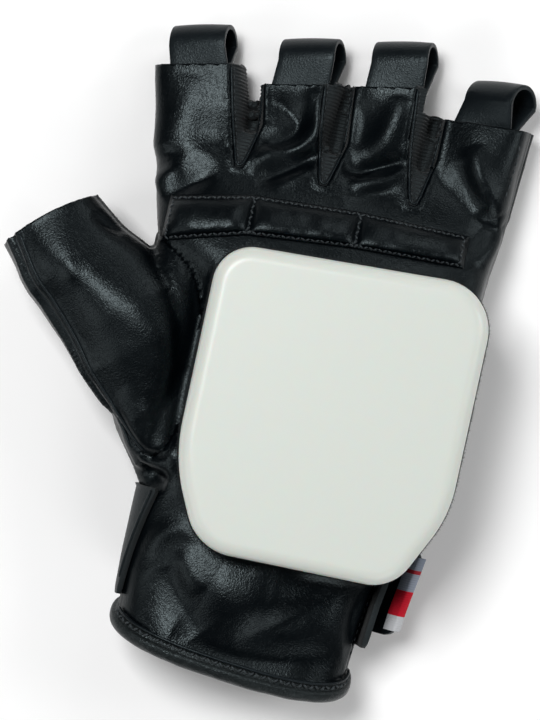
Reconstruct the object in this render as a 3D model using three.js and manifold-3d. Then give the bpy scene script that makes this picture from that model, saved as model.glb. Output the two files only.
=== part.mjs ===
// A fingerless leather slide glove for roller skating: a left-hand glove that lies on its back, palm up.
// The wrist is at low Y and the finger openings at high Y, the thumb points to -X, and the white slider
// puck on the palm faces +Z. Lengths are millimetres. Each leather panel, gusset, loop, pad, patch,
// strap and the puck is its own closed solid, with SEAM_GAP between neighbours.
import * as THREE from "three";
import { mergeVertices } from "three/addons/utils/BufferGeometryUtils.js";
import Module from "manifold-3d";

const wasm = await Module();
wasm.setup();

// Driving dimensions
const LEATHER = 1.6; // wall of the leather panels and gussets
const SEAM_GAP = 0.3; // clearance between neighbouring pieces
const CUFF_LENGTH = 50; // from the hem's middle to the narrow of the wrist
const CUFF_WIDTH = 79;
const CUFF_DEPTH = 35.5;
const PALM_LENGTH = 104; // from the narrow of the wrist to the roots of the fingers
const PALM_WIDTH = 115; // across the roots of the four fingers
const PALM_DEPTH = 40.5; // from the resting back to the flat of the palm
const FINGER_LENGTH = 31.5; // free length of a finger stall
const FINGER_WIDTH = 30;
const FINGER_DEPTH = 23;
const FINGER_OVERLAP = 22; // how far a stall runs back into the palm
const THUMB_LENGTH = 79;
const THUMB_WIDTH = 34;
const THUMB_DEPTH = 28;
const THUMB_SPREAD = 41; // degrees from the hand's axis
const THUMB_SEAM_TILT = 20; // degrees, so that the outer seam shows from the palm's side
const HEM_LEAN = 22; // degrees: the hem's palm side reaches further down the wrist
const HEM_SKEW = 5; // degrees
const HEM_ROLL = 6.4; // diameter of the padded hem binding
const GUSSET_DROP = 10; // depth of a gusset's point below the gap between two stalls
const LOOP_WIDTH = 19;
const LOOP_DEPTH = 14.4;
const LOOP_RISE = 15.5; // above the stall's edge
const LOOP_LEG = 10; // length inside the stall
const LOOP_SEWN = 4; // of that, where its two legs lie together
const LOOP_BAND = 1.5;
const PAD_SKIN = 1.4;
const PAD_CELL_RISE = 3.4;
const PAD_MARGIN = 2.2; // flat border round each quilted cell
const PUCK_WIDTH = 90;
const PUCK_LENGTH = 101;
const PUCK_THICK = 12;
const PUCK_EDGE = 4.5; // round of the sliding face's edge
const PUCK_BACK_EDGE = 1;
const PATCH_THICK = 1.5;
const PATCH_BORDER = 0.8; // how far the glove's loop patch shows outside the puck
const HOOK_INSET = 1.5; // how far the puck's hook patch stays inside it
const STRAP_WIDTH = 36;
const STRAP_THICK = 1.9;
const STRAP_TO_HEM = 1;
const STRAP_PLACE = 0.9; // the strap's upper edge, a share of CUFF_LENGTH
const STRAP_FLARE = 3; // how far the strap's end leans off the cuff's side
const STRAP_RISE = 14; // of the strap's end up the cuff's side
const TAB_WIDTH = 29;
const TAB_THICK = 2;
const TAB_FLARE = 14;
const TAB_RISE = 11;
const LABEL_THICK = 0.7;
const LABEL_WIDTH = 25;
const LABEL_WRAP = 4; // how far the ribbon runs down each side of the tab
const STRAP_CORNER = 2; // how much of the strap's end is cut off at its corners
const TAB_CORNER = 4;
const TAB_INSET = 2; // how far the tab's upper edge stays below the strap's
const FOLD_WIDTH = 6;
const FOLD_RISE = 1.2; // of a ridge above the leather
const CREASE_DEPTH = 0.6; // of a crease into the leather

// Cross-sections of the cuff. along is a share of CUFF_LENGTH from the hem, left and right are shares
// of CUFF_WIDTH from the hand's axis, floor and top are shares of CUFF_DEPTH, and power squares the oval.
const CUFF_SECTIONS = [
  { along: -0.6, left: 0.48, right: 0.465, floor: 0, top: 1, power: 2.5 },
  { along: 0.06, left: 0.492, right: 0.48, floor: 0, top: 1, power: 2.5 },
  { along: 0.45, left: 0.5, right: 0.5, floor: 0, top: 1, power: 2.6 },
  { along: 0.88, left: 0.5, right: 0.54, floor: 0, top: 1, power: 2.7 },
];

// Cross-sections of the palm. along is a share of PALM_LENGTH from the wrist, left and right are shares
// of PALM_WIDTH, floor and top are shares of PALM_DEPTH.
const PALM_SECTIONS = [
  { along: 0.04, left: 0.41, right: 0.39, floor: 0.07, top: 1, power: 3.2 },
  { along: 0.1, left: 0.455, right: 0.405, floor: 0.04, top: 1, power: 3.4 },
  { along: 0.16, left: 0.472, right: 0.42, floor: 0.02, top: 1, power: 3.7 },
  { along: 0.38, left: 0.478, right: 0.452, floor: -0.01, top: 1, power: 4.3 },
  { along: 0.58, left: 0.465, right: 0.465, floor: -0.01, top: 1, power: 4.3 },
  { along: 0.7, left: 0.455, right: 0.47, floor: -0.01, top: 0.98, power: 4 },
  { along: 0.81, left: 0.478, right: 0.476, floor: -0.01, top: 0.87, power: 3.6 },
  { along: 0.93, left: 0.506, right: 0.494, floor: -0.01, top: 0.7, power: 3.2 },
  { along: 1.03, left: 0.528, right: 0.497, floor: -0.01, top: 0.61, power: 3 },
  { along: 1.1, left: 0.53, right: 0.497, floor: 0.02, top: 0.5, power: 2.8 },
];

// The finger stalls. base, middle and tip are places across the hand as shares of PALM_WIDTH, reach is
// the open end's place as a share of FINGER_LENGTH, and the widths are shares of FINGER_WIDTH. cut is
// the open end's slant, roll the stall's twist and loopRoll the pull loop's, in degrees. loopShift
// is how far the loop leans to the little finger's side, a share of LOOP_WIDTH, and loopRise is a share
// of LOOP_RISE.
const FINGERS = [
  { name: "index", base: -0.403, middle: -0.41, tip: -0.44, reach: 0.9, baseWidth: 0.98, middleWidth: 1.04,
    tipWidth: 0.97, cut: 12, roll: 12, loopRoll: 18, loopShift: 0, loopRise: 0.86 },
  { name: "middle", base: -0.156, middle: -0.141, tip: -0.148, reach: 0.92, baseWidth: 0.95, middleWidth: 0.84,
    tipWidth: 0.98, cut: 11, roll: 10, loopRoll: 18, loopShift: 0.14, loopRise: 1 },
  { name: "ring", base: 0.093, middle: 0.113, tip: 0.113, reach: 1.1, baseWidth: 1, middleWidth: 0.9,
    tipWidth: 0.93, cut: 10, roll: 10, loopRoll: 18, loopShift: 0.12, loopRise: 1 },
  { name: "little", base: 0.363, middle: 0.377, tip: 0.386, reach: 0.92, baseWidth: 1.06, middleWidth: 1,
    tipWidth: 1, cut: 3, roll: 16, loopRoll: 40, loopShift: 0.2, loopRise: 0.97 },
];
const STALL_FOOT = 0.82; // size of the section where a stall starts inside the palm, a share of its base
const STALL_MIDDLE = 0.47; // place of the stall's middle section, a share of FINGER_LENGTH
const STALL_TIP_DEPTH = 0.9; // open end's depth, a share of FINGER_DEPTH
const STALL_POWER = 4;
const GUSSET_LEFT_SEAM = 0.58; // where a gusset starts on the stall to its left, a share of the half width
const GUSSET_RIGHT_SEAM = 0.9; // where it ends on the stall to its right

// Cross-sections of the thumb. reach is a share of THUMB_LENGTH from the thumb's root, drift and width
// are shares of THUMB_WIDTH, depth is a share of THUMB_DEPTH, and rise is the section's height as a
// share of PALM_DEPTH.
const THUMB_ROOT = { across: -0.313, along: 0.115 };
const THUMB_SECTIONS = [
  { reach: -0.08, drift: -0.08, width: 0.3, depth: 0.5, rise: 0.62 },
  { reach: 0.03, drift: 0.08, width: 0.66, depth: 0.8, rise: 0.64 },
  { reach: 0.19, drift: 0.16, width: 0.97, depth: 1.02, rise: 0.66 },
  { reach: 0.37, drift: 0.206, width: 1.18, depth: 1.1, rise: 0.67 },
  { reach: 0.53, drift: 0.22, width: 1.24, depth: 1.1, rise: 0.66 },
  { reach: 0.7, drift: 0.15, width: 1.17, depth: 1.04, rise: 0.63 },
  { reach: 0.84, drift: 0.044, width: 1.07, depth: 1, rise: 0.61 },
  { reach: 1, drift: 0, width: 1, depth: 0.94, rise: 0.58 },
];
const THUMB_POWER = 2.4;

// The main folds of the leather on the palm's side, each a curve through three places given as shares of
// PALM_WIDTH across and of PALM_LENGTH from the wrist. width is a share of FOLD_WIDTH. rise is a share of
// FOLD_RISE for a ridge and, below zero, of CREASE_DEPTH for a crease.
const PALM_FOLDS = [
  { start: [-0.46, 0.885], middle: [-0.44, 0.94], end: [-0.368, 0.973], width: 0.8, rise: -1 },
  { start: [-0.465, 0.985], middle: [-0.407, 1.027], end: [-0.345, 1.03], width: 1, rise: 0.8 },
  { start: [-0.133, 1.2], middle: [-0.08, 1.129], end: [-0.2, 1.041], width: 0.9, rise: 1 },
  { start: [-0.232, 1.143], middle: [-0.165, 1.139], end: [-0.157, 1.215], width: 1, rise: -1 },
  { start: [-0.205, 0.993], middle: [-0.139, 1.015], end: [-0.09, 1.05], width: 0.7, rise: -1 },
  { start: [0.035, 1.025], middle: [0.101, 1.046], end: [0.17, 1.09], width: 0.8, rise: -1 },
  { start: [0.04, 1.08], middle: [0.134, 1.116], end: [0.138, 1.24], width: 1, rise: 0.9 },
  { start: [0.363, 1.15], middle: [0.406, 1.085], end: [0.45, 1.014], width: 0.8, rise: 1 },
  { start: [-0.322, 0.606], middle: [-0.285, 0.459], end: [-0.275, 0.266], width: 1.2, rise: -1 },
  { start: [-0.33, 0.08], middle: [-0.305, 0.047], end: [-0.272, 0.044], width: 0.7, rise: -1 },
  { start: [-0.31, -0.018], middle: [-0.279, -0.033], end: [-0.247, -0.019], width: 0.9, rise: -1 },
  { start: [-0.275, -0.22], middle: [-0.235, -0.15], end: [-0.16, -0.175], width: 0.9, rise: 1 },
  { start: [-0.249, -0.265], middle: [-0.188, -0.215], end: [-0.123, -0.225], width: 0.9, rise: -1 },
  { start: [-0.161, -0.262], middle: [-0.048, -0.329], end: [0.078, -0.31], width: 1.5, rise: 0.8 },
  { start: [0.046, -0.4], middle: [0.17, -0.363], end: [0.255, -0.255], width: 1.1, rise: -1 },
];
const THUMB_FOLDS = [
  { start: [-0.75, 0.624], middle: [-0.584, 0.491], end: [-0.42, 0.44], width: 1.5, rise: 0.8 },
];

// The height of the side seam between palm and back: along is a share of the whole length from hem to
// finger roots, and left and right are shares of PALM_DEPTH at the two sides of the hand.
const SIDE_SEAM = [
  { along: -0.4, left: 0.62, right: 0.62 },
  { along: 0.3, left: 0.58, right: 0.66 },
  { along: 0.75, left: 0.46, right: 0.56 },
  { along: 0.95, left: 0.24, right: 0.38 },
  { along: 1.6, left: 0.16, right: 0.34 },
];

// The quilted pad at the finger roots, from the index side to the little finger's. across is a share of
// PALM_WIDTH, low and high are shares of PALM_LENGTH from the wrist. Cells lie between the stations.
const PAD_STATIONS = [
  { across: -0.445, low: 0.7, high: 0.85 },
  { across: -0.212, low: 0.775, high: 0.905 },
  { across: 0.088, low: 0.808, high: 0.925 },
  { across: 0.4, low: 0.822, high: 0.925 },
];

// The puck's outline: corners as shares of PUCK_WIDTH and PUCK_LENGTH from its middle, with the radius
// of each corner as a share of PUCK_WIDTH, going round clockwise seen from the front.
const PUCK_CENTRE = { across: 0.113, along: 0.293 }; // shares of PALM_WIDTH and PALM_LENGTH from the wrist
const PUCK_CORNERS = [
  { across: -0.497, along: 0.456, radius: 0.14 },
  { across: 0.493, along: 0.501, radius: 0.18 },
  { across: 0.497, along: -0.228, radius: 0.45 },
  { across: 0.355, along: -0.493, radius: 0.16 },
  { across: -0.347, along: -0.502, radius: 0.19 },
  { across: -0.49, along: -0.238, radius: 0.6 },
];

// The rows of a band across its width: cut is the corner's cut at its loose end, a share of the corner.
const BAND_ROWS = [
  { share: 0, cut: 1 },
  { share: 0.05, cut: 0.4 },
  { share: 0.15, cut: 0 },
  { share: 0.85, cut: 0 },
  { share: 0.95, cut: 0.4 },
  { share: 1, cut: 1 },
];

// Facets
const PALM_SIDES = 36;
const STALL_SIDES = 20;
const THUMB_SIDES = 24;
const HEM_STEPS = 34;
const HEM_SIDES = 8;
const CORNER_STEPS = 5;
const EDGE_STEPS = 3; // round the sliding face's edge
const ARCH_STEPS = 8; // over a pull loop
const FOLD_STEPS = 4; // along a fold

const FAR = 300; // past every side of the glove
const OPEN_PAST = 20; // how far the hollow runs past an open end
const CUT_PAST = 2; // how far a cutting block runs past what it cuts
const radians = THREE.MathUtils.degToRad;
const lerp = THREE.MathUtils.lerp;

// Solids

/** A closed solid from points and index triples, turned so that its faces point out. */
function solidFrom(points, triangles) {
  const facing = (order) =>
    new wasm.Manifold(
      new wasm.Mesh({
        numProp: 3,
        vertProperties: new Float32Array(points.flat()),
        triVerts: new Uint32Array(order.flat()),
      }),
    );
  const made = facing(triangles);
  return made.volume() > 0 ? made : facing(triangles.map(([a, b, c]) => [a, c, b]));
}

/** A closed solid from a three.js geometry. */
function solidOf(geometry) {
  const bare = geometry.clone();
  bare.deleteAttribute("normal");
  bare.deleteAttribute("uv");
  const merged = mergeVertices(bare, 1e-4);
  const flat = merged.attributes.position.array;
  const points = Array.from({ length: flat.length / 3 }, (_, i) => [...flat.slice(3 * i, 3 * i + 3)]);
  const index = merged.index.array;
  const triangles = Array.from({ length: index.length / 3 }, (_, i) => [...index.slice(3 * i, 3 * i + 3)]);
  return solidFrom(points, triangles);
}

/** A solid skinned over rings of equally many points, with a fan of triangles closing each end. */
function loft(rings) {
  const sides = rings[0].length;
  const points = rings.flat();
  const triangles = [];
  for (let i = 0; i + 1 < rings.length; i++)
    for (let j = 0; j < sides; j++) {
      const next = (j + 1) % sides;
      const [a, b] = [i * sides + j, i * sides + next];
      triangles.push([a, b, b + sides], [a, b + sides, a + sides]);
    }
  for (const [first, flip] of [[0, true], [(rings.length - 1) * sides, false]]) {
    const ring = points.slice(first, first + sides);
    const middle = points.push([0, 1, 2].map((k) => ring.reduce((sum, p) => sum + p[k], 0) / sides)) - 1;
    for (let j = 0; j < sides; j++) {
      const [a, b] = [first + j, first + ((j + 1) % sides)];
      triangles.push(flip ? [middle, b, a] : [middle, a, b]);
    }
  }
  return solidFrom(points, triangles);
}

/** A tube that closes on itself: rings of points round a closed path. */
function closedTube(rings) {
  const [count, sides] = [rings.length, rings[0].length];
  const triangles = [];
  for (let i = 0; i < count; i++)
    for (let j = 0; j < sides; j++) {
      const corner = (di, dj) => ((i + di) % count) * sides + ((j + dj) % sides);
      triangles.push([corner(0, 0), corner(0, 1), corner(1, 1)], [corner(0, 0), corner(1, 1), corner(1, 0)]);
    }
  return solidFrom(rings.flat(), triangles);
}

/** A sheet between two grids of points, inner[i][j] and outer[i][j], closed along its four edges. */
function sheet(inner, outer) {
  const [rows, columns] = [inner.length, inner[0].length];
  const at = (layer, i, j) => (layer * rows + i) * columns + j;
  const triangles = [];
  const quad = (a, b, c, d) => triangles.push([a, b, c], [a, c, d]);
  for (let i = 0; i + 1 < rows; i++)
    for (let j = 0; j + 1 < columns; j++) {
      quad(at(0, i, j), at(0, i + 1, j), at(0, i + 1, j + 1), at(0, i, j + 1));
      quad(at(1, i, j), at(1, i, j + 1), at(1, i + 1, j + 1), at(1, i + 1, j));
    }
  for (let i = 0; i + 1 < rows; i++) {
    quad(at(0, i, 0), at(1, i, 0), at(1, i + 1, 0), at(0, i + 1, 0));
    quad(at(0, i + 1, columns - 1), at(1, i + 1, columns - 1), at(1, i, columns - 1), at(0, i, columns - 1));
  }
  for (let j = 0; j + 1 < columns; j++) {
    quad(at(0, 0, j + 1), at(1, 0, j + 1), at(1, 0, j), at(0, 0, j));
    quad(at(0, rows - 1, j), at(1, rows - 1, j), at(1, rows - 1, j + 1), at(0, rows - 1, j + 1));
  }
  return solidFrom([...inner.flat(), ...outer.flat()], triangles);
}

/** An upright prism over [x, y] points. */
function prism(outline, low, high) {
  const shape = new THREE.Shape(outline.map(([x, y]) => new THREE.Vector2(x, y)));
  const geometry = new THREE.ExtrudeGeometry(shape, { depth: high - low, bevelEnabled: false });
  return solidOf(geometry.translate(0, 0, low));
}

/** Everything above a height. */
function above(height) {
  return solidOf(new THREE.BoxGeometry(2 * FAR, 2 * FAR, FAR).translate(0, 0, height + FAR / 2));
}

const join = (solids) => solids.reduce((whole, part) => whole.add(part));

/** A cut piece without the loose slivers that a cut can leave beside it. */
function withoutSlivers(solid) {
  return solid.decompose().reduce((largest, part) => (part.volume() > largest.volume() ? part : largest));
}

// The hand's sections

/** A smooth oval of half sizes left, right and depth, squared by power, as [across, up] for an angle. */
function ovalPoint(angle, left, right, depth, power) {
  const [c, s] = [Math.cos(angle), Math.sin(angle)];
  const reach = (Math.abs(c) ** power + Math.abs(s) ** power) ** (-1 / power);
  return [(c < 0 ? left : right) * reach * c, depth * reach * s];
}

/** The cuff's and the palm's sections in millimetres, from the hem to the finger roots. */
const handSections = [
  ...CUFF_SECTIONS.map((row) => ({
    y: row.along * CUFF_LENGTH,
    left: row.left * CUFF_WIDTH,
    right: row.right * CUFF_WIDTH,
    floor: PALM_DEPTH - CUFF_DEPTH + row.floor * CUFF_DEPTH,
    top: PALM_DEPTH - CUFF_DEPTH + row.top * CUFF_DEPTH,
    power: row.power,
  })),
  ...PALM_SECTIONS.map((row) => ({
    y: CUFF_LENGTH + row.along * PALM_LENGTH,
    left: row.left * PALM_WIDTH,
    right: row.right * PALM_WIDTH,
    floor: row.floor * PALM_DEPTH,
    top: row.top * PALM_DEPTH,
    power: row.power,
  })),
];

/** The section at any place along the hand. */
function handSectionAt(y) {
  const after = handSections.findIndex((s) => s.y >= y);
  const high = handSections[Math.max(after < 0 ? handSections.length - 1 : after, 1)];
  const low = handSections[handSections.indexOf(high) - 1];
  const share = (y - low.y) / (high.y - low.y);
  return Object.fromEntries(Object.keys(low).map((key) => [key, lerp(low[key], high[key], share)]));
}

/** A point of the hand's surface at a section and angle, moved out by grow. */
function handPoint(section, angle, grow) {
  const middle = (section.floor + section.top) / 2;
  const depth = (section.top - section.floor) / 2 + grow;
  const [x, z] = ovalPoint(angle, section.left + grow, section.right + grow, depth, section.power);
  return [x, section.y, middle + z];
}

function handLoft(grow, overrun) {
  const sections = handSections.map((section, i) => ({
    ...section,
    y: section.y + (i === 0 ? -overrun : i === handSections.length - 1 ? grow : 0),
  }));
  return loft(
    sections.map((section) =>
      Array.from({ length: PALM_SIDES }, (_, k) => handPoint(section, (2 * Math.PI * k) / PALM_SIDES, grow)),
    ),
  );
}

/** The frame of a stall's section: x across it, y along the stall and z out of its palm side. */
function stallFrame(x, y, heading, roll) {
  return new THREE.Matrix4()
    .makeTranslation(x, y, FINGER_DEPTH / 2)
    .multiply(new THREE.Matrix4().makeRotationZ(radians(heading)))
    .multiply(new THREE.Matrix4().makeRotationY(radians(-roll)));
}

const place = (frame, x, y, z) => new THREE.Vector3(x, y, z).applyMatrix4(frame).toArray();

/** A stall's sections: frame, half width and half depth, from inside the palm to the open end. */
function stallSections(finger) {
  const root = CUFF_LENGTH + PALM_LENGTH;
  const rows = [
    {
      x: finger.base * STALL_FOOT,
      y: root - FINGER_OVERLAP,
      width: finger.baseWidth * STALL_FOOT,
      depth: STALL_FOOT / 2,
      cut: 0,
      roll: 0,
    },
    { x: finger.base, y: root, width: finger.baseWidth, depth: 1, cut: 0.2, roll: 0.4 },
    { x: finger.middle, y: root + STALL_MIDDLE * FINGER_LENGTH, width: finger.middleWidth, depth: 1, cut: 0.6, roll: 1 },
    { x: finger.tip, y: root + finger.reach * FINGER_LENGTH, width: finger.tipWidth, depth: STALL_TIP_DEPTH, cut: 1, roll: 1 },
  ];
  return rows.map((row) => ({
    frame: stallFrame(row.x * PALM_WIDTH, row.y, finger.cut * row.cut, finger.roll * row.roll),
    half: (row.width * FINGER_WIDTH) / 2,
    depth: (row.depth * FINGER_DEPTH) / 2,
  }));
}

function stallLoft(finger, grow, overrun) {
  const sections = stallSections(finger);
  const ring = (section, past) =>
    Array.from({ length: STALL_SIDES }, (_, k) => {
      const angle = (2 * Math.PI * k) / STALL_SIDES;
      const half = section.half + grow;
      const [x, z] = ovalPoint(angle, half, half, section.depth + grow, STALL_POWER);
      return place(section.frame, x, past, z);
    });
  const rings = sections.map((section) => ring(section, 0));
  if (overrun > 0) rings.push(ring(sections.at(-1), overrun));
  return loft(rings);
}

/** Cuff, palm and four stalls as one body, moved out by grow, flat where it rests. */
function handBody(grow, overrun) {
  const body = join([handLoft(grow, overrun), ...FINGERS.map((finger) => stallLoft(finger, grow, overrun))]);
  return body.intersect(above(-grow));
}

// The thumb's sections

const thumbRoot = [THUMB_ROOT.across * PALM_WIDTH, CUFF_LENGTH + THUMB_ROOT.along * PALM_LENGTH];

/** The thumb's frame at a reach: x across it, y along it and z out of the palm. */
function thumbFrame(section) {
  const heading = new THREE.Matrix4().makeRotationZ(radians(THUMB_SPREAD));
  const local = new THREE.Matrix4().makeTranslation(
    section.drift * THUMB_WIDTH,
    section.reach * THUMB_LENGTH,
    section.rise * PALM_DEPTH,
  );
  return new THREE.Matrix4().makeTranslation(...thumbRoot, 0).multiply(heading).multiply(local);
}

function thumbLoft(grow, overrun) {
  const ring = (section, past) =>
    Array.from({ length: THUMB_SIDES }, (_, k) => {
      const half = (section.width * THUMB_WIDTH) / 2 + grow;
      const depth = (section.depth * THUMB_DEPTH) / 2 + grow;
      const [x, z] = ovalPoint((2 * Math.PI * k) / THUMB_SIDES, half, half, depth, THUMB_POWER);
      return place(thumbFrame(section), x, past, z);
    });
  const rings = THUMB_SECTIONS.map((section) => ring(section, 0));
  if (overrun > 0) rings.push(ring(THUMB_SECTIONS.at(-1), overrun));
  return loft(rings);
}

/** Everything above the thumb's tilted seam plane, raised by shift. */
function thumbFrontSide(shift) {
  const middle = THUMB_SECTIONS.find((section) => section.reach > 0.5);
  const block = new THREE.BoxGeometry(FAR, 2 * FAR, FAR).translate(0, 0, FAR / 2 + shift);
  block.rotateY(radians(THUMB_SEAM_TILT));
  return solidOf(block.applyMatrix4(thumbFrame(middle)));
}

// Cutting planes

/** Everything above the side seam of the hand, raised by shift. */
function palmSide(shift) {
  const rows = SIDE_SEAM.map((row) => {
    const y = row.along * (CUFF_LENGTH + PALM_LENGTH);
    const [low, high] = [row.left * PALM_DEPTH + shift, row.right * PALM_DEPTH + shift];
    const tilt = (high - low) / PALM_WIDTH;
    const middle = (low + high) / 2;
    return [
      [-PALM_WIDTH, y, middle - tilt * PALM_WIDTH],
      [PALM_WIDTH, y, middle + tilt * PALM_WIDTH],
      [PALM_WIDTH, y, FAR],
      [-PALM_WIDTH, y, FAR],
    ];
  });
  return loft(rows);
}

const hemMiddle = PALM_DEPTH - CUFF_DEPTH / 2;
const hemTurn = new THREE.Matrix4()
  .makeTranslation(0, 0, hemMiddle)
  .multiply(new THREE.Matrix4().makeRotationZ(radians(-HEM_SKEW)))
  .multiply(new THREE.Matrix4().makeRotationX(radians(HEM_LEAN)));
const hemNormal = new THREE.Vector3(0, 1, 0).transformDirection(hemTurn);

/** Everything on the fingers' side of the slanted hem plane, moved towards them by shift. */
function pastHem(shift) {
  return solidOf(new THREE.BoxGeometry(2 * FAR, FAR, 2 * FAR).translate(0, FAR / 2 + shift, 0).applyMatrix4(hemTurn));
}

/** The point where the hem plane cuts the cuff's wall at an angle round it. */
function rimPoint(angle, grow) {
  const origin = new THREE.Vector3(0, 0, hemMiddle);
  let point = new THREE.Vector3();
  let y = 0;
  for (let step = 0; step < 6; step++) {
    point.fromArray(handPoint(handSectionAt(y), angle, grow));
    y = (hemNormal.dot(origin) - hemNormal.x * point.x - hemNormal.z * point.z) / hemNormal.y;
  }
  return point.setY(y);
}

// Folds

/** The height of a solid's top at a place seen from above, or fallback beside the solid. */
function topAt(data, x, y, fallback) {
  let top = -Infinity;
  const corner = (index) => data.vertProperties.subarray(data.numProp * index, data.numProp * index + 3);
  for (let t = 0; t < data.triVerts.length; t += 3) {
    const [a, b, c] = [0, 1, 2].map((k) => corner(data.triVerts[t + k]));
    const area = (b[0] - a[0]) * (c[1] - a[1]) - (c[0] - a[0]) * (b[1] - a[1]);
    if (area < 1e-9) continue; // seen from below, or upright
    const v = ((x - a[0]) * (c[1] - a[1]) - (c[0] - a[0]) * (y - a[1])) / area;
    const w = ((b[0] - a[0]) * (y - a[1]) - (x - a[0]) * (b[1] - a[1])) / area;
    if (v < 0 || w < 0 || v + w > 1) continue;
    top = Math.max(top, a[2] + v * (b[2] - a[2]) + w * (c[2] - a[2]));
  }
  return top === -Infinity ? fallback : top;
}

/** The body of a fold laid along its curve on a solid: a ridge to add, or a crease to cut. */
function foldBody(row, data) {
  const spot = ([across, along]) => new THREE.Vector2(across * PALM_WIDTH, CUFF_LENGTH + along * PALM_LENGTH);
  const curve = new THREE.SplineCurve([spot(row.start), spot(row.middle), spot(row.end)]);
  const ridge = row.rise > 0;
  const peak = row.rise * (ridge ? FOLD_RISE : CREASE_DEPTH);
  return loft(
    Array.from({ length: FOLD_STEPS + 1 }, (_, k) => {
      const share = k / FOLD_STEPS;
      const size = 0.15 + 0.85 * Math.sin(Math.PI * share);
      const at = curve.getPoint(share);
      const across = curve.getTangent(share).multiplyScalar((size * row.width * FOLD_WIDTH) / 2);
      const middle = topAt(data, at.x, at.y, PALM_DEPTH);
      const edge = (side) => {
        const [x, y] = [at.x - side * across.y, at.y + side * across.x];
        return [x, y, topAt(data, x, y, middle) + (ridge ? -SEAM_GAP : SEAM_GAP)];
      };
      const far = middle + (ridge ? -LEATHER : LEATHER) / 2;
      return [edge(-1), [at.x, at.y, middle + peak * size], edge(1), [at.x, at.y, far]];
    }),
  );
}

/** A leather piece with its folds. */
function folded(solid, rows) {
  const data = solid.getMesh();
  return rows.reduce((piece, row) => {
    const body = foldBody(row, data);
    return row.rise > 0 ? piece.add(body) : piece.subtract(body);
  }, solid);
}

// The leather shell and its pieces

const handOutside = handBody(0, OPEN_PAST).intersect(pastHem(HEM_ROLL / 2));
const stallEnds = join(FINGERS.map((finger) => stallEndBlock(finger)));

/** Everything past a stall's open end, as wide as the stall. */
function stallEndBlock(finger) {
  const tip = stallSections(finger).at(-1);
  const block = new THREE.BoxGeometry(2 * (tip.half + CUT_PAST), OPEN_PAST + 2 * CUT_PAST, 4 * tip.depth);
  return solidOf(block.translate(0, OPEN_PAST / 2 + CUT_PAST, 0).applyMatrix4(tip.frame));
}

const handInside = handBody(-LEATHER, OPEN_PAST);
const thumbInside = thumbLoft(-LEATHER, OPEN_PAST);
const hollow = handInside.add(thumbInside);
const handShell = handOutside.subtract(stallEnds).subtract(hollow);

/** The gusset between two stalls: an upright wedge that narrows to a point in the palm. */
function gussetWedge(leftFinger, rightFinger, grow) {
  const seam = (section, side, past) => place(section.frame, side * section.half, past, 0);
  const [, leftRoot, leftMiddle, leftTip] = stallSections(leftFinger);
  const [, rightRoot, rightMiddle, rightTip] = stallSections(rightFinger);
  const [left, right] = [GUSSET_LEFT_SEAM, -GUSSET_RIGHT_SEAM];
  const foot = (seam(leftRoot, 1, 0)[0] + seam(rightRoot, -1, 0)[0]) / 2;
  const footY = CUFF_LENGTH + PALM_LENGTH - GUSSET_DROP * 0.2 - grow;
  const spread = GUSSET_DROP * 0.22 + grow;
  const widened = ([x, y], by) => [x + by, y];
  return prism(
    [
      widened(seam(leftTip, left, OPEN_PAST), -grow),
      widened(seam(leftMiddle, left, 0), -grow),
      [foot - spread, footY + GUSSET_DROP * 0.35],
      [foot - spread / 2, footY],
      [foot + spread / 2, footY],
      [foot + spread, footY + GUSSET_DROP * 0.35],
      widened(seam(rightMiddle, right, 0), grow),
      widened(seam(rightTip, right, OPEN_PAST), grow),
    ],
    -FAR,
    FAR,
  );
}

const neighbours = FINGERS.slice(1).map((finger, i) => [FINGERS[i], finger]);

function palmPanel() {
  const wedges = join(neighbours.map(([left, right]) => gussetWedge(left, right, SEAM_GAP)));
  return withoutSlivers(folded(handShell.intersect(palmSide(SEAM_GAP)), PALM_FOLDS).subtract(wedges));
}

function backPanel() {
  const wedges = join(neighbours.map(([left, right]) => gussetWedge(left, right, SEAM_GAP)));
  return withoutSlivers(handShell.subtract(palmSide(0)).subtract(wedges));
}

const gusset = ([left, right]) => withoutSlivers(handShell.intersect(gussetWedge(left, right, 0)));

const thumbShell = thumbLoft(0, 0)
  .subtract(handBody(SEAM_GAP, OPEN_PAST))
  .subtract(hollow);
const thumbFront = () => folded(withoutSlivers(thumbShell.intersect(thumbFrontSide(SEAM_GAP))), THUMB_FOLDS);
const thumbBack = () => withoutSlivers(thumbShell.subtract(thumbFrontSide(0)));

/** The padded binding round the wrist's opening. */
function hem() {
  const radius = HEM_ROLL / 2;
  const centres = Array.from({ length: HEM_STEPS }, (_, k) =>
    rimPoint((2 * Math.PI * k) / HEM_STEPS, -LEATHER / 2).addScaledVector(hemNormal, -SEAM_GAP),
  );
  return closedTube(
    centres.map((centre, k) => {
      const ahead = centres[(k + 1) % HEM_STEPS];
      const behind = centres[(k + HEM_STEPS - 1) % HEM_STEPS];
      const side = new THREE.Vector3().subVectors(ahead, behind).cross(hemNormal).normalize();
      return Array.from({ length: HEM_SIDES }, (_, j) => {
        const angle = (2 * Math.PI * j) / HEM_SIDES;
        return centre
          .clone()
          .addScaledVector(hemNormal, radius * Math.cos(angle))
          .addScaledVector(side, radius * Math.sin(angle))
          .toArray();
      });
    }),
  );
}

// Pull loops

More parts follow.
